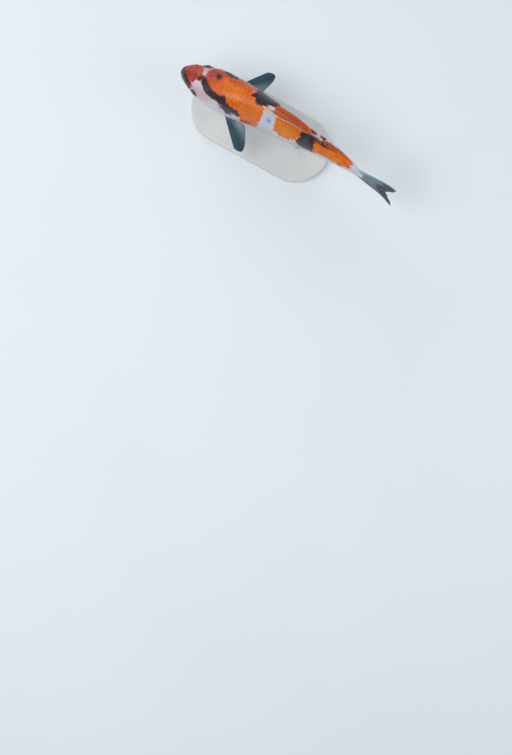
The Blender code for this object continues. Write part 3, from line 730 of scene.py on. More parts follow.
# Each fin's FIN_TINTS, and how clear the skin between its rays is
FIN_LOOKS = {
    "pectoral_fin_slate": (
        (96, 110, 122), (50, 84, 100), (44, 82, 100), (26, 44, 58), (160, 176, 186), 0.36),
    "pelvic_fin_pale": (
        (206, 206, 214), (176, 184, 194), (120, 136, 148), (206, 202, 206), (216, 214, 216), 0.22),
    # the dorsal fin's Line Tint is partly a painted highlight on its folded top edge
    "dorsal_fin_blush": (
        (196, 176, 178), (204, 178, 174), (150, 126, 124), (214, 190, 184), (242, 190, 164), 0.16),
    "tail_fin_slate": ((186, 194, 204), (74, 108, 128), (58, 88, 108), (34, 52, 68), (150, 178, 192), 0.22),
}
JOINT_WAVES = 95.0  # radians of sine from root to rim; a ray has a joint at each place where it is 1 or -1


def fin_tissue():
    """A fin's blade: colour from root to rim, darker rays against the thinner skin between them, joints
    that cross each ray, then its own patches: sheer where it thins to almost clear, warm where the back's
    orange runs up into it, dark where black does, and a pale line along its stiff leading ray, which on
    the dorsal fin is partly a painted highlight along the folded fin's top edge."""
    tree, told, out = new_group(
        "fin tissue",
        {VALUE: FIN_PLACES + ("Clear",), COLOUR: FIN_TINTS},
        {COLOUR: ("Color",), VALUE: ("Alpha", "Height")},
    )
    where = object_place(tree)
    clouds, fine = grain(where, 260, 3.0, 0.6), grain(where, 1900)
    outward = told["Outward"] + (clouds * 0.24 - 0.12)
    colour = blend(spread(outward, 0.02, 0.3), told["Root"], told["Middle"])
    colour = blend(spread(outward, 0.62, 1.02), colour, told["Rim"])
    on_ray = told["Ray"] * spread(fine, 0.2, 0.8, 0.55, 1.0)
    colour = blend(on_ray, colour, blend(0.6, colour, told["Ray Tint"]))
    colour = blend(told["Sheer"] * 0.55, colour, shade(150, 172, 182))
    ragged = clouds * 0.5 - 0.25
    for title, share, tint in (("Warm", 0.92, shade(176, 80, 38)), ("Dark", 0.94, shade(30, 36, 56))):
        colour = blend(spread(told[title] + ragged, 0.3, 0.7) * share, colour, tint)
    # the pale line; on the dorsal fin it is partly a painted highlight
    colour = blend(told["Line"], colour, told["Line Tint"])
    joints = (told["Outward"] * JOINT_WAVES).maths("SINE").maths("ABSOLUTE").maths("POWER", 6.0)
    height = told["Ray"] * (joints * -0.35 + 1.0) + fine * 0.2
    thin = (told["Ray"] * -0.75 + 1.0) * spread(told["Outward"], 0.06, 0.4) * (told["Sheer"] * 1.6 + 0.4)
    alpha = (thin * told["Clear"] * -1.0).maths("ADD", 1.0, clamp=True)
    connect(out, {"Color": colour, "Alpha": alpha, "Height": height})
    return tree


FIN_TISSUE = fin_tissue()


def fin_material(name):
    """The fin tissue in the looks of one fin, its rays a little duller than the skin between them."""
    material, tree = new_material(name)
    *tints, clear = FIN_LOOKS[name]
    sockets = {title: held(tree, title.lower()) for title in FIN_PLACES}
    sockets.update({title: shade(*tint) for title, tint in zip(FIN_TINTS, tints)}, Clear=clear)
    tissue = use_group(tree, FIN_TISSUE, sockets)
    return set_shader(
        material, Base_Color=tissue["Color"], Alpha=tissue["Alpha"],
        Coat_Weight=0.1, Coat_Roughness=0.15, IOR=1.3,
        Roughness=spread(held(tree, "ray"), 0.0, 1.0, 0.32, 0.46),
        Normal=bumped(tissue["Height"], 0.00008, 0.8),
    )


# -------------------- skin


def eye_axes(side):
    """The eyeball's centre and three unit directions: its look, forward and up in the cheek's plane."""
    course, angle = np.array(EYE_COURSE), np.array(EYE_ANGLE * side)
    look = body_normal(course, angle)
    centre = surface(course, angle) - look * EYE_SUNK * PERCENT
    ahead = surface(course - 1, angle) - surface(course, angle)
    ahead = unit(ahead - look * (ahead @ look))
    return centre, look, ahead, np.cross(look, ahead) * -side


def broad_form(station, angle):
    """Gentle swellings shared by skin and scales, in percent: the lobes under the pectoral fins, a low
    ridge along the dorsal fin's foot and the vent before the anal fin."""
    turn = np.abs(angle)
    lobes = 0.45 * bell(station - 30.4, 3.6) * bell(turn - math.radians(122), 0.2)
    foot = 0.1 * window(42, 46, 78, 83, station) * bell(turn, 0.16)
    vent = -0.3 * bell(station - 72.8, 0.9) * bell(turn - math.pi, 0.12)
    return lobes + foot + vent


# Grooves and folds of the cheek: depth, width and painted shade of each, and its line of (station, height)
FACE_LINES = (
    (0.26, 0.42, 0.35,  # round the cheek's rear and foot
     ((16.7, 4.4), (17.4, 2.2), (17.5, -0.6), (16.8, -3.2), (14.6, -5), (11.2, -5.2), (8.4, -4.4))),
    (0.14, 0.4, 0.15, ((18.2, 3.6), (20.4, 5), (22.8, 5.4), (25, 4.6))),  # over the gill cover
    (0.16, 0.4, 0.2, ((18.2, -2.6), (20.4, -4.8), (23, -6.2), (25, -6))),  # under the gill cover
    (0.3, 0.3, 0.45, ((3.1, 0.3), (4.4, -0.4), (5.3, -1.7), (5.7, -3.2))),  # behind the upper lip
    (0.26, 0.26, 0.4, ((3.2, -1.3), (4.1, -1.9), (4.9, -3), (5.1, -4))),  # at the mouth's corner
)
BROW_RIDGE = ((6.4, 3.4), (8.8, 4.9), (11.4, 5.9), (14.4, 6), (17, 5.4))
# Each side's nostrils, as station, half length, half width and depth: both lie at the angle NOSTRIL_TURN,
# where a radian round is NOSTRIL_ROUND percent
NOSTRILS = ((6.75, 0.34, 0.3, 0.36), (7.85, 0.55, 0.44, 0.42))
NOSTRIL_TURN, NOSTRIL_ROUND, NOSTRIL_FLAP = 0.86, 4.6, 7.28


def eye_relief(points):
    """Round each eye, by distance from the axis of its look: a sunk floor, a narrow groove and a raised
    rim, with a shallow ring outside it, and painted shade in the groove and in the dip outside the rim."""
    rise, crease = 0, 0
    for sign in (1, -1):
        centre, look, ahead, up = eye_axes(sign)
        away = (points - centre) / PERCENT
        radius = np.hypot(away @ ahead, away @ up)
        near = (away @ look > -0.5) & (radius < 6)
        floor = -1.5 * smooth_step(2.12, 1.65, radius)
        rim = 0.26 * bell(radius - 2.5, 0.3) - 0.2 * bell(radius - 3.25, 0.34)
        rim = rim + 0.1 * bell(radius - 3.9, 0.4)
        # painted shade in the groove round the ball and in the dip outside its rim
        groove_painted_shade = 0.8 * bell(radius - 2.12, 0.16) + 0.25 * bell(radius - 3.2, 0.25)
        rise = rise + np.where(near, floor + rim, 0)
        crease = crease + np.where(near, groove_painted_shade, 0)
    return rise, crease


def cheek_relief(station, height, turn):
    """Grooves and the brow's ridge, as bells of the distance from their lines, with painted shade along
    each groove, and the gill cover's plate with fine rays that fan out from its front."""
    cheek = window(0.62, 0.95, 2.45, 2.75, turn)
    rise = 0.16 * bell(line_distance(station, height, BROW_RIDGE), 0.7) * cheek
    crease = 0
    for depth, width, dark, line in FACE_LINES:
        away = line_distance(station, height, line)
        rise = rise - depth * bell(away, width) * cheek
        # painted shade along each groove
        crease = crease + dark * bell(away, width * 0.6) * cheek
    plate = window(17.9, 19.3, 22.5, 25.5, station) * cheek
    rays = np.sin(np.arctan2(height - 4.0, station - 16.0) * 34)
    return rise + 0.16 * plate + 0.03 * plate * rays, crease


def nostril_relief(station, turn):
    """Two oval pits with low rims and painted shade inside them, and a flap between them."""
    round_off = (turn - NOSTRIL_TURN) * NOSTRIL_ROUND
    rise = 0.3 * bell(station - NOSTRIL_FLAP, 0.2) * bell(round_off, 0.45)
    crease = 0
    for middle, long, wide, depth in NOSTRILS:
        oval = np.hypot((station - middle) / long, round_off / wide)
        rise = rise - depth * smooth_step(1.15, 0.55, oval) + 0.13 * bell(oval - 1.45, 0.35)
        # painted shade in each pit
        crease = crease + 0.9 * smooth_step(1.1, 0.5, oval)
    return rise, crease


def throat_relief(station, side, turn):
    """Folds that spread tailwards under the head: on each side a deep one with painted shade and two
    shallow ones.
    """
    under = window(10.0, 12.5, 20.5, 22.5, station) * smooth_step(2.35, 2.75, turn)
    away = np.abs(side) - 0.3 * (station - 11.0)
    rise = -0.26 * bell(away - 0.5, 0.32)
    for outer in (2.2, 3.2):
        rise = rise - 0.1 * bell(away - outer, 0.25)
    # painted shade in the deep fold
    return rise * under, 0.35 * bell(away - 0.5, 0.22) * under


def face_relief(station, side, height, points, angle):
    """The head's detail as a rise along the normal, in percent, and the painted shade in its creases, 0 to
    1:
    the sum of its eyes', cheeks', nostrils' and throat's."""
    turn = np.abs(angle)
    reliefs = (
        eye_relief(points),
        cheek_relief(station, height, turn),
        nostril_relief(station, turn),
        throat_relief(station, side, turn),
    )
    return sum(rise for rise, _ in reliefs), np.clip(sum(crease for _, crease in reliefs), 0, 1)


def skin_courses():
    """Courses of the skin's rings, each span divided evenly."""
    parts = [np.linspace(low, high, count, endpoint=False) for low, high, count in SKIN_SPANS]
    return np.concatenate(parts + [[TAIL_COURSE]])


def rim_relief(behind, angle):
    """The gill cover's rear rim, in percent of rise against the distance behind the head's edge: the bony
    edge, the soft flap past it and the drop to the shoulder, over the cheeks only, with painted shade at
    the rim's edge."""
    open_side = window(0.8, 1.15, 2.75, 3.05, np.abs(angle))
    bony = 0.22 * smooth_step(-3.2, -1.1, behind) - 0.12 * smooth_step(-1.0, -0.75, behind)
    drop = 0.42 * smooth_step(0.5, 2.0, behind) - 0.52 * smooth_step(-0.06, 0.1, behind)
    # painted shade just behind the rim's edge, and faintly under the bony edge
    crease = bell(behind - 0.16, 0.22) * 0.9 + bell(behind + 0.72, 0.16) * 0.15
    return (bony + drop) * open_side, crease * open_side


def ring_girths(points):
    """The girth at each point of rings that run from the ridge down the left and up the right: the sum of
    the steps down its own side, less than 0 on the right."""
    steps = np.linalg.norm(np.roll(points, -1, axis=1) - points, axis=-1) / PERCENT
    half = points.shape[1] // 2
    left, right = running_sum(steps[:, :half]), running_sum(steps[:, :half - 1:-1])
    return np.concatenate((left[:, :-1], -right[:, :0:-1]), axis=1)


MAP_MARGIN = 0.02
POLES_AT = (0.005, 0.995)


def skin_bake_map(rows, columns):
    """The skin laid flat on its map: rings along u, the way round along v, and past the first and the last
    ring the triangles of its poles."""
    u = np.linspace(MAP_MARGIN, 1 - MAP_MARGIN, rows)
    v = np.linspace(MAP_MARGIN, 1 - MAP_MARGIN, columns + 1)
    flat = np.stack(np.meshgrid(u, v, indexing="ij"), axis=-1)
    quads = np.stack((flat[:-1, :-1], flat[:-1, 1:], flat[1:, 1:], flat[1:, :-1]), axis=2).reshape(-1, 4, 2)
    first, last = (np.column_stack((np.full(columns, pole), (v[:-1] + v[1:]) / 2)) for pole in POLES_AT)
    fans = np.concatenate((
        np.stack((flat[0, 1:], flat[0, :-1], first), axis=1),
        np.stack((flat[-1, :-1], flat[-1, 1:], last), axis=1),
    ))
    return [quads, fans]


LIP_CREST = -1.3  # the course of the lips' outermost ring


def build_skin():
    """One skin from the throat out over the lips to the tail: the body's formula on a grid whose rings
    bend to run along the head's rear edge, raised along the normal by the relief, closed by a pole at
    each end."""
    base = skin_courses()[:, None]
    angle = turns_of(SKIN_AROUND)[None, :]
    angle = np.where(angle > math.pi, angle - 2 * math.pi, angle)
    bend = bell(base - EDGE_MID, EDGE_REACH) * smooth_step(8, 14, base)
    course = base + (head_edge(angle) - EDGE_MID) * bend
    angle = np.broadcast_to(angle, course.shape)
    station, side, height = body_place(course, angle)
    points = surface(course, angle)
    behind = course - head_edge(angle)
    face, crease = face_relief(station, side, height, points, angle)
    rim, rim_painted_shade = rim_relief(behind, angle)
    ahead = smooth_step(29, 25, station) * smooth_step(0.9, 2.2, course)
    rise = (face * ahead + rim + broad_form(station, angle)) * PERCENT
    rise = rise - SKIN_SUNK * smooth_step(-0.2, 0.9, behind)
    points = points + body_normal(course, angle) * rise[..., None]

    values = markings(station, ring_girths(points))
    chin = smooth_step(1.5, 1.9, np.abs(angle)) * smooth_step(4, 2, course)
    values["black"] = values["black"] - 3.0 * chin * smooth_step(1.5, -0.5, course)
    mouth, lips = smooth_step(LIP_CREST, -2.3, course), bell(course - LIP_CREST, 1.5)
    values["flesh"] = np.clip(0.8 * mouth + 0.35 * lips * chin, 0, 1)
    # painted shade in the face's grooves and pits, along the gill cover's rim and deep in the mouth
    values["crease"] = np.clip(crease * ahead + rim_painted_shade + 0.7 * smooth_step(-2.4, -3.6, course), 0, 1)
    values = {key: np.concatenate((v.ravel(), v[0, :1], v[-1, :1])) for key, v in values.items()}

    points, faces = closed_rings(points, (points[0].mean(axis=0), place(TAIL_COURSE + 0.2, 0, 0.2)))
    maps = {"OFBake": skin_bake_map(*course.shape)}
    skin = make_piece("skin", points, faces, skin_material(), values, maps)
    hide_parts("head", "jaw", "gill_cover_left", "gill_cover_right", "trunk", "tail_stalk")


# -------------------- scales

SCALE_COLUMNS, SCALE_ROWS = 39, 9  # along the lateral line, and over it and under it
SCALE_PITCH = (2.16, 1.8)  # from one scale to the next along a row, at the shoulder and at the tail
ROW_SPACE = (2.66, 1.72)  # from one row to the next
ROW_END = 0.62  # the nearest that a row comes to the ridge or the middle of the belly, in row spaces
SCALE_HALF = 0.74  # half of a scale's height, in row spaces
SCALE_REACH = 0.98  # from a scale's middle to its rear tip, in pitches
SCALE_STEP = 0.165 * MM  # how far a scale rises over one pitch
SCALE_TOP, SCALE_THICK = -0.02 * MM, 0.13 * MM  # its tip over the body's surface, and its plate
SCALE_CROWN, SCALE_EDGE = 0.07 * MM, 0.03 * MM  # its fall to each side and at its rim
# How much single scales differ: in size, in place along the row in pitches, and in lift
SIZE_RANGE, PLACE_RANGE, LIFT_RANGE = 0.05, 0.06, 0.025 * MM
SPOKES = 14
RING_SHARES = (0.45, 0.8, 1.0, 0.97)  # the last is the plate's lower rim
DORSAL_GAP, ANAL_GAP = (44.5, 79.5), (73.8, 83.0)  # the ridge's and the belly's rows leave out these fins
LAST_TIP = 102.2
OWN_SHARE = 0.62  # how far a scale takes the marking at its middle rather than each point's own
BAKE_START, BAKE_SPAN = -5, 112  # stations along the scales' map
BAKE_PATCH = 0.0015  # half a scale's width on it
LATERAL_LINE = ((22, 2.6), (30, 1.2), (40, 0.1), (55, -0.6), (75, -0.4), (90, 0), (104, 0))  # height


def between(pair, station):
    """The first of a pair of values up to station 25, the second from 95 on, and even steps between."""
    return evenly(pair, np.clip((station - 25) / 70, 0, 1))


def lateral_girth():
    """The girth of the lateral line at each station of the table, where the skin passes its height."""
    line = np.array(LATERAL_LINE, float)
    wanted = smooth_through(line[:, 0], line[:, 1], TABLE_STATIONS)
    _, _, heights = body_place(TABLE_STATIONS[:, None], TABLE_ANGLES[None, :])
    return np.array([np.interp(-want, -row, girths) for want, row, girths in zip(wanted, heights, GIRTHS)])


LATERAL_GIRTH = lateral_girth()


def row_girth(row, station):
    """The girth of a row of scales, counted down from the lateral line."""
    return np.interp(station, TABLE_STATIONS, LATERAL_GIRTH) + row * between(ROW_SPACE, station)


def tip_stations(numbers):
    """The stations of a row's tips by their numbers, NaN past the body's ends.  A number is the sum of
    small steps tailwards, each divided by the pitch there."""
    steps = np.linspace(20, 104, 841)
    counts = running_sum(0.1 / between(SCALE_PITCH, steps[:-1]))
    return np.interp(numbers, counts, steps, left=np.nan, right=np.nan)


def scale_lattice():
    """Tip station and row of each scale of one side.  Tips step down each row by the pitch, every other
    row by half a pitch more.  A row ends where it meets the head's edge, the ridge or the belly."""
    rows, columns = np.meshgrid(
        np.arange(-SCALE_ROWS, SCALE_ROWS + 1), np.arange(-1, SCALE_COLUMNS + 2), indexing="ij"
    )
    tips = tip_stations(columns + 0.5 * (rows % 2))
    rows, tips = rows[np.isfinite(tips)], tips[np.isfinite(tips)]
    middle = tips - between(SCALE_PITCH, tips) * 0.5
    margin = ROW_END * between(ROW_SPACE, middle)
    girth = row_girth(rows, middle)
    kept = (girth > margin) & (girth < half_girth(middle) - margin)
    kept &= (middle - 0.25 > head_edge(angle_at(middle, girth))) & (tips < LAST_TIP)
    return tips[kept], rows[kept]


def edge_rows():
    """Tips and half heights of the scales along the ridge, then of those along the belly: a row of its own
    for each, as wide as the gap between the two sides' rows needs."""
    tips = tip_stations(np.arange(SCALE_COLUMNS + 1) + 0.25)
    middle = tips - between(SCALE_PITCH, tips) * 0.5
    space = between(ROW_SPACE, middle)
    line = row_girth(0, middle)
    on_back = (middle > NAPE + 0.3) & ~((tips >= DORSAL_GAP[0]) & (middle <= DORSAL_GAP[1]))
    on_belly = (middle > THROAT + 1.0) & ~((middle > ANAL_GAP[0]) & (tips < ANAL_GAP[1]))
    edges = []
    for girth, on_body in ((line, on_back), (half_girth(middle) - line, on_belly)):
        gap = girth - np.floor((girth - ROW_END * space) / space) * space
        kept = on_body & (tips < LAST_TIP)
        edges.append((tips[kept], np.maximum(gap - 0.42 * space, 0.35 * space)[kept]))
    return edges


def scale_template():
    """A plate's points in the unit circle: the middle, RING_SHARES rings of spokes, the last of them lower,
    with its faces as fans, rings of quads and a floor."""
    turns = turns_of(SPOKES) + math.pi / SPOKES
    rim = np.stack((np.cos(turns), np.sin(turns)), axis=1)
    flat = np.concatenate([np.zeros((1, 2))] + [share * rim for share in RING_SHARES])
    lower = np.zeros(len(flat))
    lower[-SPOKES:] = 1
    spoke = 1 + np.arange(SPOKES)
    fan = np.stack((np.zeros(SPOKES, int), spoke, np.roll(spoke, -1)), axis=1)
    quads = 1 + np.roll(grid_faces(len(RING_SHARES), SPOKES, True)[:, ::-1], 1, axis=1)
    floor = (len(flat) - spoke)[None, :]
    return flat, lower, (fan, quads, floor)


def build_scales(side, tips, girth_of, halves, pores, seed):
    """Joined plates.  A point's place is its scale's middle, moved tailwards by a pitch and round by the
    half height times its place in the unit circle.  It rises along the skin's normal by SCALE_STEP for
    each pitch towards the tip and falls off to each side with the square of the distance.  A scale takes
    its marking mostly from its middle, so the edges between colours follow single scales."""
    random = np.random.default_rng(seed)
    flat, lower, kinds = scale_template()
    count, each = len(tips), len(flat)
    tips, halves = tips[:, None], halves[:, None]
    pitch = between(SCALE_PITCH, tips)
    size = 1 + SIZE_RANGE * (random.random((count, 1)) - 0.5)
    wander = PLACE_RANGE * (random.random((count, 1)) - 0.5)
    x, y = flat[None, :, 0], flat[None, :, 1]
    station = np.minimum(tips + pitch * (SCALE_REACH * (x * size - 1) + wander), TAIL_COURSE - 0.05)
    girth = girth_of(station) + y * halves * size
    to_tip = (tips + pitch * wander - station) / pitch
    fall = SCALE_CROWN * y**2 + SCALE_EDGE * np.hypot(x, y) ** 6 + LIFT_RANGE * random.random((count, 1))
    angle = angle_at(station, girth * side)
    lift = SCALE_TOP - SCALE_STEP * to_tip - fall - lower[None, :] * SCALE_THICK
    lift = lift + broad_form(station, angle) * PERCENT
    points = surface(station, angle) + body_normal(station, angle) * lift[..., None]

    seen_station = tips - 0.55 * pitch
    seen_girth = girth_of(seen_station) + 0 * seen_station
    marked = markings(
        evenly((station, seen_station), OWN_SHARE), side * evenly((girth, seen_girth), OWN_SHARE)
    )
    values = {key: value.ravel() for key, value in marked.items()}
    values["tint"] = np.repeat(random.random(count), each)
    values["pore"] = np.repeat(pores.astype(float), each)

    first = (np.arange(count) * each)[:, None, None]
    faces = [(group[None] + first).reshape(-1, group.shape[1]) for group in kinds]
    share = (seen_station - BAKE_START) / BAKE_SPAN
    root = np.stack((share, 0.5 + 0.46 * np.sign(side) * seen_girth / half_girth(seen_station)), axis=-1)
    corners = {"Scale": np.broadcast_to(flat, (count, each, 2)), "OFBake": root + BAKE_PATCH * flat[None]}
    maps = {key: [places.reshape(-1, 2)[group] for group in faces] for key, places in corners.items()}
    return dict(points=points.reshape(-1, 3), faces=faces, values=values, maps=maps)


def join_parts(parts):
    """One set of points, faces, values and maps from several."""
    starts = np.cumsum([0] + [len(part["points"]) for part in parts[:-1]])
    kinds = range(len(parts[0]["faces"]))
    points = np.concatenate([part["points"] for part in parts])
    faces = [
        np.concatenate([part["faces"][k] + start for part, start in zip(parts, starts)]) for k in kinds
    ]
    values = {key: np.concatenate([part["values"][key] for part in parts]) for key in parts[0]["values"]}
    maps = {
        key: [np.concatenate([part["maps"][key][k] for part in parts]) for k in kinds]
        for key in parts[0]["maps"]
    }
    return points, faces, values, maps


def build_coat():
    """Both flanks' scales, with those along the ridge and the belly joined to the left flank's."""
    tips, rows = scale_lattice()
    (back_tips, back_halves), (belly_tips, belly_halves) = edge_rows()
    halves = SCALE_HALF * between(ROW_SPACE, tips)
    material = scale_material()

    def along_ridge(station):
        return 0 * station

    def along_rows(station):
        return row_girth(rows[:, None], station)

    middle_parts = [
        build_scales(1, back_tips, along_ridge, back_halves, np.zeros(len(back_tips)), 5),
        build_scales(1, belly_tips, half_girth, belly_halves, np.zeros(len(belly_tips)), 6),
    ]
    for (side, word), seed, extra in zip(SIDES, (11, 23), (middle_parts, [])):
        flank = build_scales(side, tips, along_rows, halves, rows == 0, seed)
        points, faces, values, maps = join_parts([flank] + extra)
        coat = make_piece(f"scales_{word}", points, faces, material, values, maps, sharp=40)
        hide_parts("trunk", "tail_stalk")


# -------------------- eyes

EYE_GRID = (42, 56)  # rings between its poles, and points round each
LENS_RISE = 0.09  # the dome's height over the ball
BEHIND_IRIS = 1.5  # what from_pupil says on the ball's rear half


def build_eye(side, word, material):
    """An eyeball: a flattened ball about its look, with a low dome over the lens and a fine groove where
    the iris meets the pupil."""
    centre, look, ahead, up = eye_axes(side)
    rings, columns = EYE_GRID
    polar = np.linspace(0, math.pi, rings + 2)[1:-1, None]
    radius = EYE_ROUND * np.sin(polar)
    dome = LENS_RISE * bell(radius, 0.8) - 0.05 * bell(radius - 1.0, 0.13)
    height = EYE_FLAT * np.cos(polar) + smooth_step(0.0, 0.2, np.cos(polar)) * dome
    radius, height, turn = np.broadcast_arrays(radius, height, turns_of(columns)[None, :])
    ball = np.stack((radius * np.cos(turn), radius * np.sin(turn), height), axis=-1)
    points, faces = closed_rings(ball, ((0, 0, EYE_FLAT + LENS_RISE), (0, 0, -EYE_FLAT)))
    points = centre + points @ np.stack((ahead, up, look)) * PERCENT
    from_pupil = np.where(np.cos(polar) > 0, radius / EYE_SHOWS, BEHIND_IRIS)
    values = {"from_pupil": np.concatenate((from_pupil.ravel(), (0, BEHIND_IRIS)))}
    eye = make_piece(f"eyeball_{word}", points, faces, material, values)
    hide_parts(f"eye_{word}")


# -------------------- barbels

# Each pair's root as (station, side, height), heading, length and radius at the root
BARBELS = {
    "front": ((3.9, 2.7, 0.5), (-0.15, 0.8, -0.6), 3.0, 0.36),
    "rear": ((4.6, 3.1, -1.8), (0.45, 0.55, -0.7), 5.4, 0.42),
}
BARBEL_TIP = 0.28 * MM  # radius
BARBEL_CURL = np.array((0.35, -0.25, -0.1))  # how its heading turns towards the tip
BARBEL_GRID = (34, 20)  # rings along it, and points round each


def barbel_tube(side, root, direction, length, radius):
    """A tapering tube along root + length (heading t + curl t^2), flared where it leaves the lip, faintly
    ringed and rounded at its tip: its points, its faces, and t at each point."""
    rows, columns = BARBEL_GRID
    t = np.linspace(-0.1, 1, rows)[:, None]
    heading = np.array(direction) / np.linalg.norm(direction)
    middle = np.array(root) + length * (heading * t + BARBEL_CURL * t * np.abs(t))
    thick = radius * (1 - t) + BARBEL_TIP / PERCENT * t
    flare, rings = 1 + 0.7 * bell(t + 0.06, 0.09), 1 + 0.05 * np.sin(t * 60)
    rounding = np.sqrt(np.clip(1 - smooth_step(0.93, 1.001, t) * 0.96, 0.02, 1))
    thick = (thick * flare * rounding * rings)[:, None]
    forward = heading + 2 * np.abs(t) * BARBEL_CURL
    across = unit(np.cross(forward, (1, 0, 0)))
    upward = unit(np.cross(across, forward))
    turn = turns_of(columns)[None, :, None]
    tube = middle[:, None] + thick * (across[:, None] * np.cos(turn) + upward[:, None] * np.sin(turn))
    points = place(tube[..., 0], tube[..., 1] * side, tube[..., 2])
    along = np.concatenate((np.broadcast_to(t, BARBEL_GRID).ravel(), (0, 1)))
    return *closed_rings(points, (points[0].mean(axis=0), points[-1].mean(axis=0))), along


def build_barbels():
    """Two pairs: one from the upper lip and a longer one from the mouth's corners."""
    material = barbel_material()
    for side, word in SIDES:
        for pair, sizes in BARBELS.items():
            points, faces, along = barbel_tube(side, *sizes)
            piece = make_piece(f"feeler_{pair}_{word}", points, faces, material, {"outward": along})
            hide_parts(f"barbel_{pair}_{word}")


# -------------------- fins

# Pairs are for a fin's first ray and its last, and for the upper and the lower edge of the tail fin: where
# the root is, the rise off the tailward direction in degrees, and the length.  thick is the thickness at
# the root in metres, and lean how far the fin leans over to a side.
DORSAL = dict(
    stations=(43.5, 80.5), rise=(25, 12), lengths=(13.5, 6.5), thick=0.0018, lean=math.radians(-25),
)
ANAL = dict(stations=(74.5, 82.0), rise=(-30, -17), lengths=(13.5, 7.0), thick=0.0016, lean=0.0)
TAIL_FIN = dict(root=99.0, reach=(5.4, -5.0), rise=(33, -25), lengths=(25.5, 26.5), fork=17.0, thick=0.002)
# The sweep of a paired fin is its first and last rays' turn off the tailward direction, and its droop is
# its plane's slope down from level: each is given for the left fin and then for the right.
PECTORAL = dict(
    station=28.4, angle=122, chord=6.0, sweep=((50, 12), (58, 23)), droop=(19, 14),
    lengths=(19.5, 7.4), thick=0.0024,
)
PELVIC = dict(
    station=47.5, angle=158, chord=3.4, sweep=((20, 4), (20, 4)), droop=(72, 72),
    lengths=(13.5, 8.0), thick=0.0018,
)
PADDLE_FRONT, PADDLE_FALL = 0.18, 0.75  # share of its rays that stay long, and the power of the fall
PADDLE_CORNERS = (0.1, 0.3)  # how much shorter its first and last rays are made
WEB_THICK = 0.26 * MM  # the skin between the rays, at the rim
RAY_RISE = 0.34 * MM  # what a ray adds to it at the root
COLUMNS_PER_RAY = 10


def fin_grid(rays, rows):
    """Two shares from 0 to 1 for each point of a fin: outward along its rays and across them."""
    outward = np.linspace(0, 1, rows)[:, None]
    across = np.linspace(0, 1, rays * COLUMNS_PER_RAY + 1)[None, :]
    return np.broadcast_arrays(outward, across)


def ray_place(across, rays):
    """The number of each place's ray, and how far off the ray's middle it lies, from -0.5 to 0.5."""
    number = np.minimum(np.floor(across * rays), rays - 1)
    return number, across * rays - number - 0.5


def ray_ridges(outward, across, rays):
    """0 between the rays and 1 on them.  Each ray is a ridge about the middle of its share of the fin; past
    the middle of its length it forks, and near the rim it forks again.  The leading rays stay whole."""
    number, offset = ray_place(across, rays)
    whole = smooth_step(0.5, 2.5, number)
    first_fork = 0.24 * smooth_step(0.34, 0.95, outward) * whole
    second_fork = 0.115 * smooth_step(0.66, 1.0, outward) * whole
    away = np.abs(np.abs(np.abs(offset) - first_fork) - second_fork)
    width = 0.19 * (1 - 0.45 * outward) * np.where(number == 0, 1.9, 1.0)
    return smooth_step(1.35, 0.55, away / width)


def ray_shift(across, rays, most):
    """How far the colour's edge is shifted along each ray, up to most either way: a sine of its number."""
    number, _ = ray_place(across, rays)
    return most * np.sin(5.3 * number + 0.9)


def scalloped(across, rays, most, dip):
    """Each place's share of its ray's length: most at the ray's middle, less by dip halfway to the next
    ray, with the square of the distance."""
    _, offset = ray_place(across, rays)
    return most - dip * (2 * offset) ** 2


def ray_length(across, lengths, rounding):
    """Each ray's length: shrinking from the first to the last, with both corners rounded off."""
    first, last = lengths
    return (last + (first - last) * (1 - across**1.3)) * (1 - rounding * np.abs(2 * across - 1) ** 4)


def paddle_length(across, lengths):
    """Each ray's length in a paired fin: the front rays long, the rest falling away in half a cosine
    wave, with both corners rounded off."""
    first, last = lengths
    fall = np.clip((across - PADDLE_FRONT) / (1 - PADDLE_FRONT), 0, 1)
    length = last + (first - last) * 0.5 * (1 + np.cos(math.pi * fall**PADDLE_FALL))
    front = PADDLE_CORNERS[0] * np.clip(1 - across / PADDLE_FRONT, 0, 1) ** 2
    rear = PADDLE_CORNERS[1] * np.clip(1 - (1 - across) / PADDLE_FRONT, 0, 1) ** 2
    return length * (1 - front - rear)


def build_blade(name, middle, normal, outward, across, rays, root_thick, material, nodes, patches):
    """A closed blade: the grid of the fin's middle, moved half the thickness to each side.  The thickness
    falls from root to rim as (1 - outward)^1.5, and the rays stand proud of the skin between them.
    patches gives the places that are sheer, warm, dark or on the pale line."""
    ray = ray_ridges(outward, across, rays)
    web = WEB_THICK + (0.72 * root_thick - WEB_THICK) * (1 - outward) ** 1.5
    half = (web + RAY_RISE * ray * (0.35 + 0.65 * (1 - outward) ** 0.7)) / 2
    half = (half * (1 - 0.55 * smooth_step(0.985, 1.0, outward)))[..., None] * normal
    points = np.concatenate((middle + half, middle - half)).reshape(-1, 3)
    quads, below = grid_faces(*outward.shape, False), outward.size
    index = np.arange(below).reshape(outward.shape)
    rim = np.concatenate((index[0, :-1], index[:-1, -1], index[-1, :0:-1], index[:0:-1, 0]))
    after = np.roll(rim, -1)
    sides = np.stack((after, rim, rim + below, after + below), axis=1)
    faces = [np.concatenate((quads, quads[:, ::-1] + below, sides))]
    looks = {key: outward * 0 for key in ("sheer", "warm", "dark", "line")}
    looks.update(patches, ray=ray, outward=outward)
    values = {key: np.tile(v.ravel(), 2) for key, v in looks.items()}
    piece = make_piece(name, points, faces, material, values, sharp=60)
    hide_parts(*nodes)


def spine_normal(station):
    """The spine's own left, at each station."""
    turn = turn_at(station)
    return np.stack((-np.sin(turn), -np.cos(turn), np.zeros_like(turn)), axis=-1)


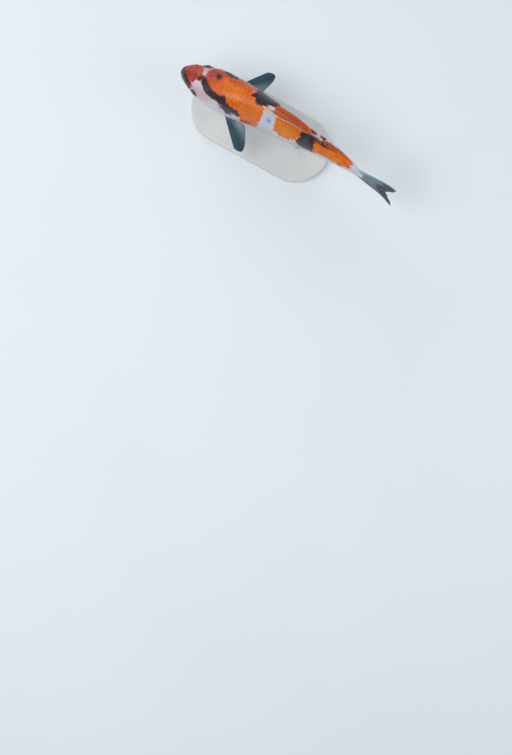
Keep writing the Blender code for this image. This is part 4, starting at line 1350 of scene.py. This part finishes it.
def dorsal_patches(outward, across, rays, station, reach):
    """The dorsal fin's pale line, up its leading ray and along its rim, partly the ray's own colour and
    partly a painted highlight on the folded fin's top edge, and its bands of warm and dark over the back's
    own, with edges shifted ray by ray."""
    # the pale line: partly the leading ray's own pale colour, partly a painted highlight along the folded
    # fin's top edge
    leading_ray_and_highlight = smooth_step(0.062, 0.03, across) * smooth_step(0.1, 0.3, outward)
    place_of = station - 0.2 * reach + ray_shift(across, rays, 1.1)
    return {
        "line": np.maximum(leading_ray_and_highlight, smooth_step(0.9, 0.97, outward)) * window(44, 47, 66, 71, station),
        "warm": window(47.5, 51.0, 66.0, 70.0, place_of) + smooth_step(78.0, 82.5, place_of),
        "dark": window(66.5, 70.5, 77.0, 82.0, place_of) + smooth_step(47.5, 45.5, place_of),
    }


def median_fin(name, node, fin, direction, rays, rows, material):
    """A fin on the back or under the belly.  A point of it stands along its ray, whose rise turns from the
    first ray's to the last's, over a root that follows the body's edge; waves grow towards the rim."""
    outward, across = fin_grid(rays, rows)
    root = evenly(fin["stations"], across)
    level = direction * (ring_value("up" if direction > 0 else "down", root) - 0.8)
    rise = np.radians(evenly(fin["rise"], across))
    reach = outward * (ray_length(across, fin["lengths"], 0.14) * scalloped(across, rays, 0.997, 0.014))
    station, height = root + reach * np.cos(rise), level + reach * np.sin(rise)
    side = -(height - level) * math.tan(fin["lean"]) + 0.16 * outward**2 * np.sin(across * 21)
    middle = place(station, side, height)
    patches = dorsal_patches(outward, across, rays, station, reach) if direction > 0 else {}
    build_blade(name, middle, spine_normal(station), outward, across, rays, fin["thick"], material,
                (node,), patches)


# Pale streaks in the tail fin, between its lower edge at -1 and its upper at 1: middle, width, strength
TAIL_STREAKS = ((0.5, 0.07, 0.9), (-0.3, 0.06, 0.7), (0.08, 0.05, 0.6))


def tail_patches(outward, across, rays):
    """The tail fin's pale upper edge, rim and streaks, the dark that takes its end and its lower edge, and
    the clear skin before that."""
    signed = 2 * across - 1
    streaks = sum(strength * bell(signed - middle, width) for middle, width, strength in TAIL_STREAKS)
    ray_end = outward + ray_shift(across, rays, 0.05) - 0.06 * np.abs(signed)
    dark_end = smooth_step(0.4, 0.84, ray_end)
    edge = smooth_step(0.86, 0.95, signed) + 0.6 * smooth_step(0.972, 0.995, outward)
    low_edge = smooth_step(-0.6, -0.95, signed) * smooth_step(0.1, 0.4, outward)
    return {
        "line": np.clip(edge + streaks * smooth_step(0.05, 0.2, outward) * (1 - dark_end), 0, 0.85),
        "dark": np.clip(dark_end + 0.8 * low_edge, 0, 1) * (1 - 0.8 * np.clip(edge, 0, 1)),
        "sheer": 0.45 * (1 - dark_end),
    }


def build_tail_fin(rays, rows, material):
    """Both lobes as one fan: a ray's rise and its length grow from the fork to each lobe's leading ray."""
    fin = TAIL_FIN
    outward, across = fin_grid(rays, rows)
    lobe = np.abs(2 * across - 1)
    rise, most, root = (np.where(2 * across > 1, *fin[key]) for key in ("rise", "lengths", "reach"))
    rise = np.radians(rise) * (0.9 * lobe + 0.1 * smooth_step(0, 0.12, lobe))
    tip_round = 0.996 - 0.1 * bell(1 - lobe, 0.08)
    length = evenly((fin["fork"], most), lobe**1.15) * tip_round * scalloped(across, rays, 1, 0.008)
    reach = outward * length
    station, height = fin["root"] + reach * np.cos(rise), root * lobe + reach * np.sin(rise)
    middle = place(station, 0.12 * outward**2 * np.sin(across * 26), height)
    build_blade("tail_fin", middle, spine_normal(station), outward, across, rays, fin["thick"], material,
                ("tail_fin_upper", "tail_fin_lower"), tail_patches(outward, across, rays))


def paired_fin(name, fin, side, rays, rows, material):
    """A pectoral or pelvic fin: a fan in a plane that droops from the body, cupped a little, with its
    rays turned from the first sweep to the last off the tailward direction."""
    outward, across = fin_grid(rays, rows)
    root = surface(fin["station"] + fin["chord"] * across, math.radians(fin["angle"]) * side)
    left = spine_normal(fin["station"])
    back = np.array((-left[1], left[0], 0))
    pick = 0 if side > 0 else 1
    droop = math.radians(fin["droop"][pick])
    out = left * side * math.cos(droop) - np.array((0, 0, math.sin(droop)))
    normal = np.cross(back, out)
    normal = normal * np.sign(normal[2])
    sweep = np.radians(evenly(fin["sweep"][pick], across))
    ray = np.cos(sweep)[..., None] * back + np.sin(sweep)[..., None] * out
    length = paddle_length(across, fin["lengths"]) * PERCENT * scalloped(across, rays, 0.998, 0.012)
    cup = -0.1 * outward**2 * length + 0.04 * length * np.sin(math.pi * across)
    cup = cup + 0.18 * MM * outward**2 * np.sin(across * 17)
    sunk = root - out * 0.12 * fin["chord"] * PERCENT
    middle = sunk + ray * (outward * length)[..., None] + normal * cup[..., None]
    patches = {"sheer": smooth_step(0.22, 0.75, across)}
    build_blade(name, middle, normal, outward, across, rays, fin["thick"], material,
                (name.replace("blade", "fin"),), patches)


def build_fins():
    """Every fin, with its count of rays and of rows from root to rim."""
    slate, pale, back, tail = (fin_material(name) for name in FIN_LOOKS)
    median_fin("dorsal_blade", "dorsal_fin", DORSAL, 1, 20, 40, back)
    median_fin("anal_blade", "anal_fin", ANAL, -1, 8, 40, pale)
    build_tail_fin(20, 60, tail)
    for side, word in SIDES:
        paired_fin(f"pectoral_blade_{word}", PECTORAL, side, 16, 56, slate)
        paired_fin(f"pelvic_blade_{word}", PELVIC, side, 9, 44, pale)


# -------------------- stand, floor and light


def plate_material():
    """Sanded white plastic: a faint cloud of tint, and speckles that show in its bump."""
    material, tree = new_material("plate_white")
    where = object_place(tree)
    speckle, broad = grain(where, 1800, 3.0), grain(where, 40)
    colour = blend(spread(broad, 0.3, 0.7), shade(222, 222, 218), shade(212, 213, 211))
    colour = blend(spread(speckle, 0.6, 0.75, 0.0, 0.3), colour, shade(178, 178, 176))
    return set_shader(
        material, Base_Color=colour, Coat_Weight=0.08,
        Roughness=spread(broad, 0.3, 0.7, 0.42, 0.55),
        Normal=bumped(speckle, 0.00004, 0.5),
    )


def rod_material():
    """Steel with fine scratches drawn out along Z."""
    material, tree = new_material("rod_brushed")
    where = put(tree, "ShaderNodeMapping", {"Vector": object_place(tree), "Scale": (1.0, 1.0, 0.03)})
    brushed = grain(where, 6000, 3.0)
    return set_shader(
        material, Base_Color=blend(brushed, shade(168, 170, 172), shade(206, 208, 210)),
        Roughness=spread(brushed, 0.3, 0.7, 0.22, 0.36),
        Metallic=spread(brushed, 0.0, 0.2, 0.9, 1.0),
        Normal=bumped(brushed, 0.00001, 0.6),
    )


def dress_stand():
    """Better finishes for the stand's own nodes."""
    plate, steel = plate_material(), rod_material()
    for name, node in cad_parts.items():
        if name.startswith("stand_"):
            for held_slot in node.material_slots:
                held_slot.material = plate if name == "stand_base" else steel


def build_floor():
    """A wide pale floor, just under the stand."""
    mesh = bpy.data.meshes.new("floor")
    reach, drop = 40.0, -0.0002
    corners = [(x * reach, y * reach, drop) for x, y in ((-1, -1), (1, -1), (1, 1), (-1, 1))]
    mesh.from_pydata(corners, [], [(0, 1, 2, 3)])
    floor = new_object("floor", mesh)
    material, tree = new_material("floor_pale")
    where = object_place(tree)
    mesh.materials.append(set_shader(
        material, Base_Color=blend(grain(where, 6.0), shade(238, 242, 244), shade(232, 237, 240)),
        Specular_IOR_Level=0.2, Roughness=spread(grain(where, 30.0), 0.3, 0.7, 0.7, 0.85),
    ))


LIGHTS = (  # name, place, size in metres and power in watts
    ("soft_box", (-0.4, -0.5, 1.15), 0.9, 8.4),
    ("side_box", (-0.75, 0.6, 0.55), 0.7, 2.6),
    ("back_box", (0.85, 0.1, 0.6), 0.6, 2.0),
)
LIGHTS_AIM = (0.0, 0.0, 0.05)
SKY_COLOUR, SKY_STRENGTH = (0.86, 0.92, 1.0, 1), 0.42


def build_light():
    """A broad soft light over the fish, a smaller one from the head's side, one from behind, and a pale
    sky."""
    for name, where, size, power in LIGHTS:
        data = bpy.data.lights.new(name, "AREA")
        data.size, data.energy = size, power
        light = new_object(name, data)
        light.location = where
        x, y, z = np.array(LIGHTS_AIM) - np.array(where)
        light.rotation_euler = (math.atan2(math.hypot(x, y), -z), 0, math.atan2(y, x) - math.pi / 2)
    sky = bpy.data.worlds.new("sky")
    sky.use_nodes = True
    background = sky.node_tree.nodes["Background"].inputs
    background["Color"].default_value = SKY_COLOUR
    background["Strength"].default_value = SKY_STRENGTH
    bpy.context.scene.world = sky


build_skin()
build_coat()
eye_finish = eye_material()
for side, word in SIDES:
    build_eye(side, word, eye_finish)
build_barbels()
build_fins()
dress_stand()
build_floor()
build_light()
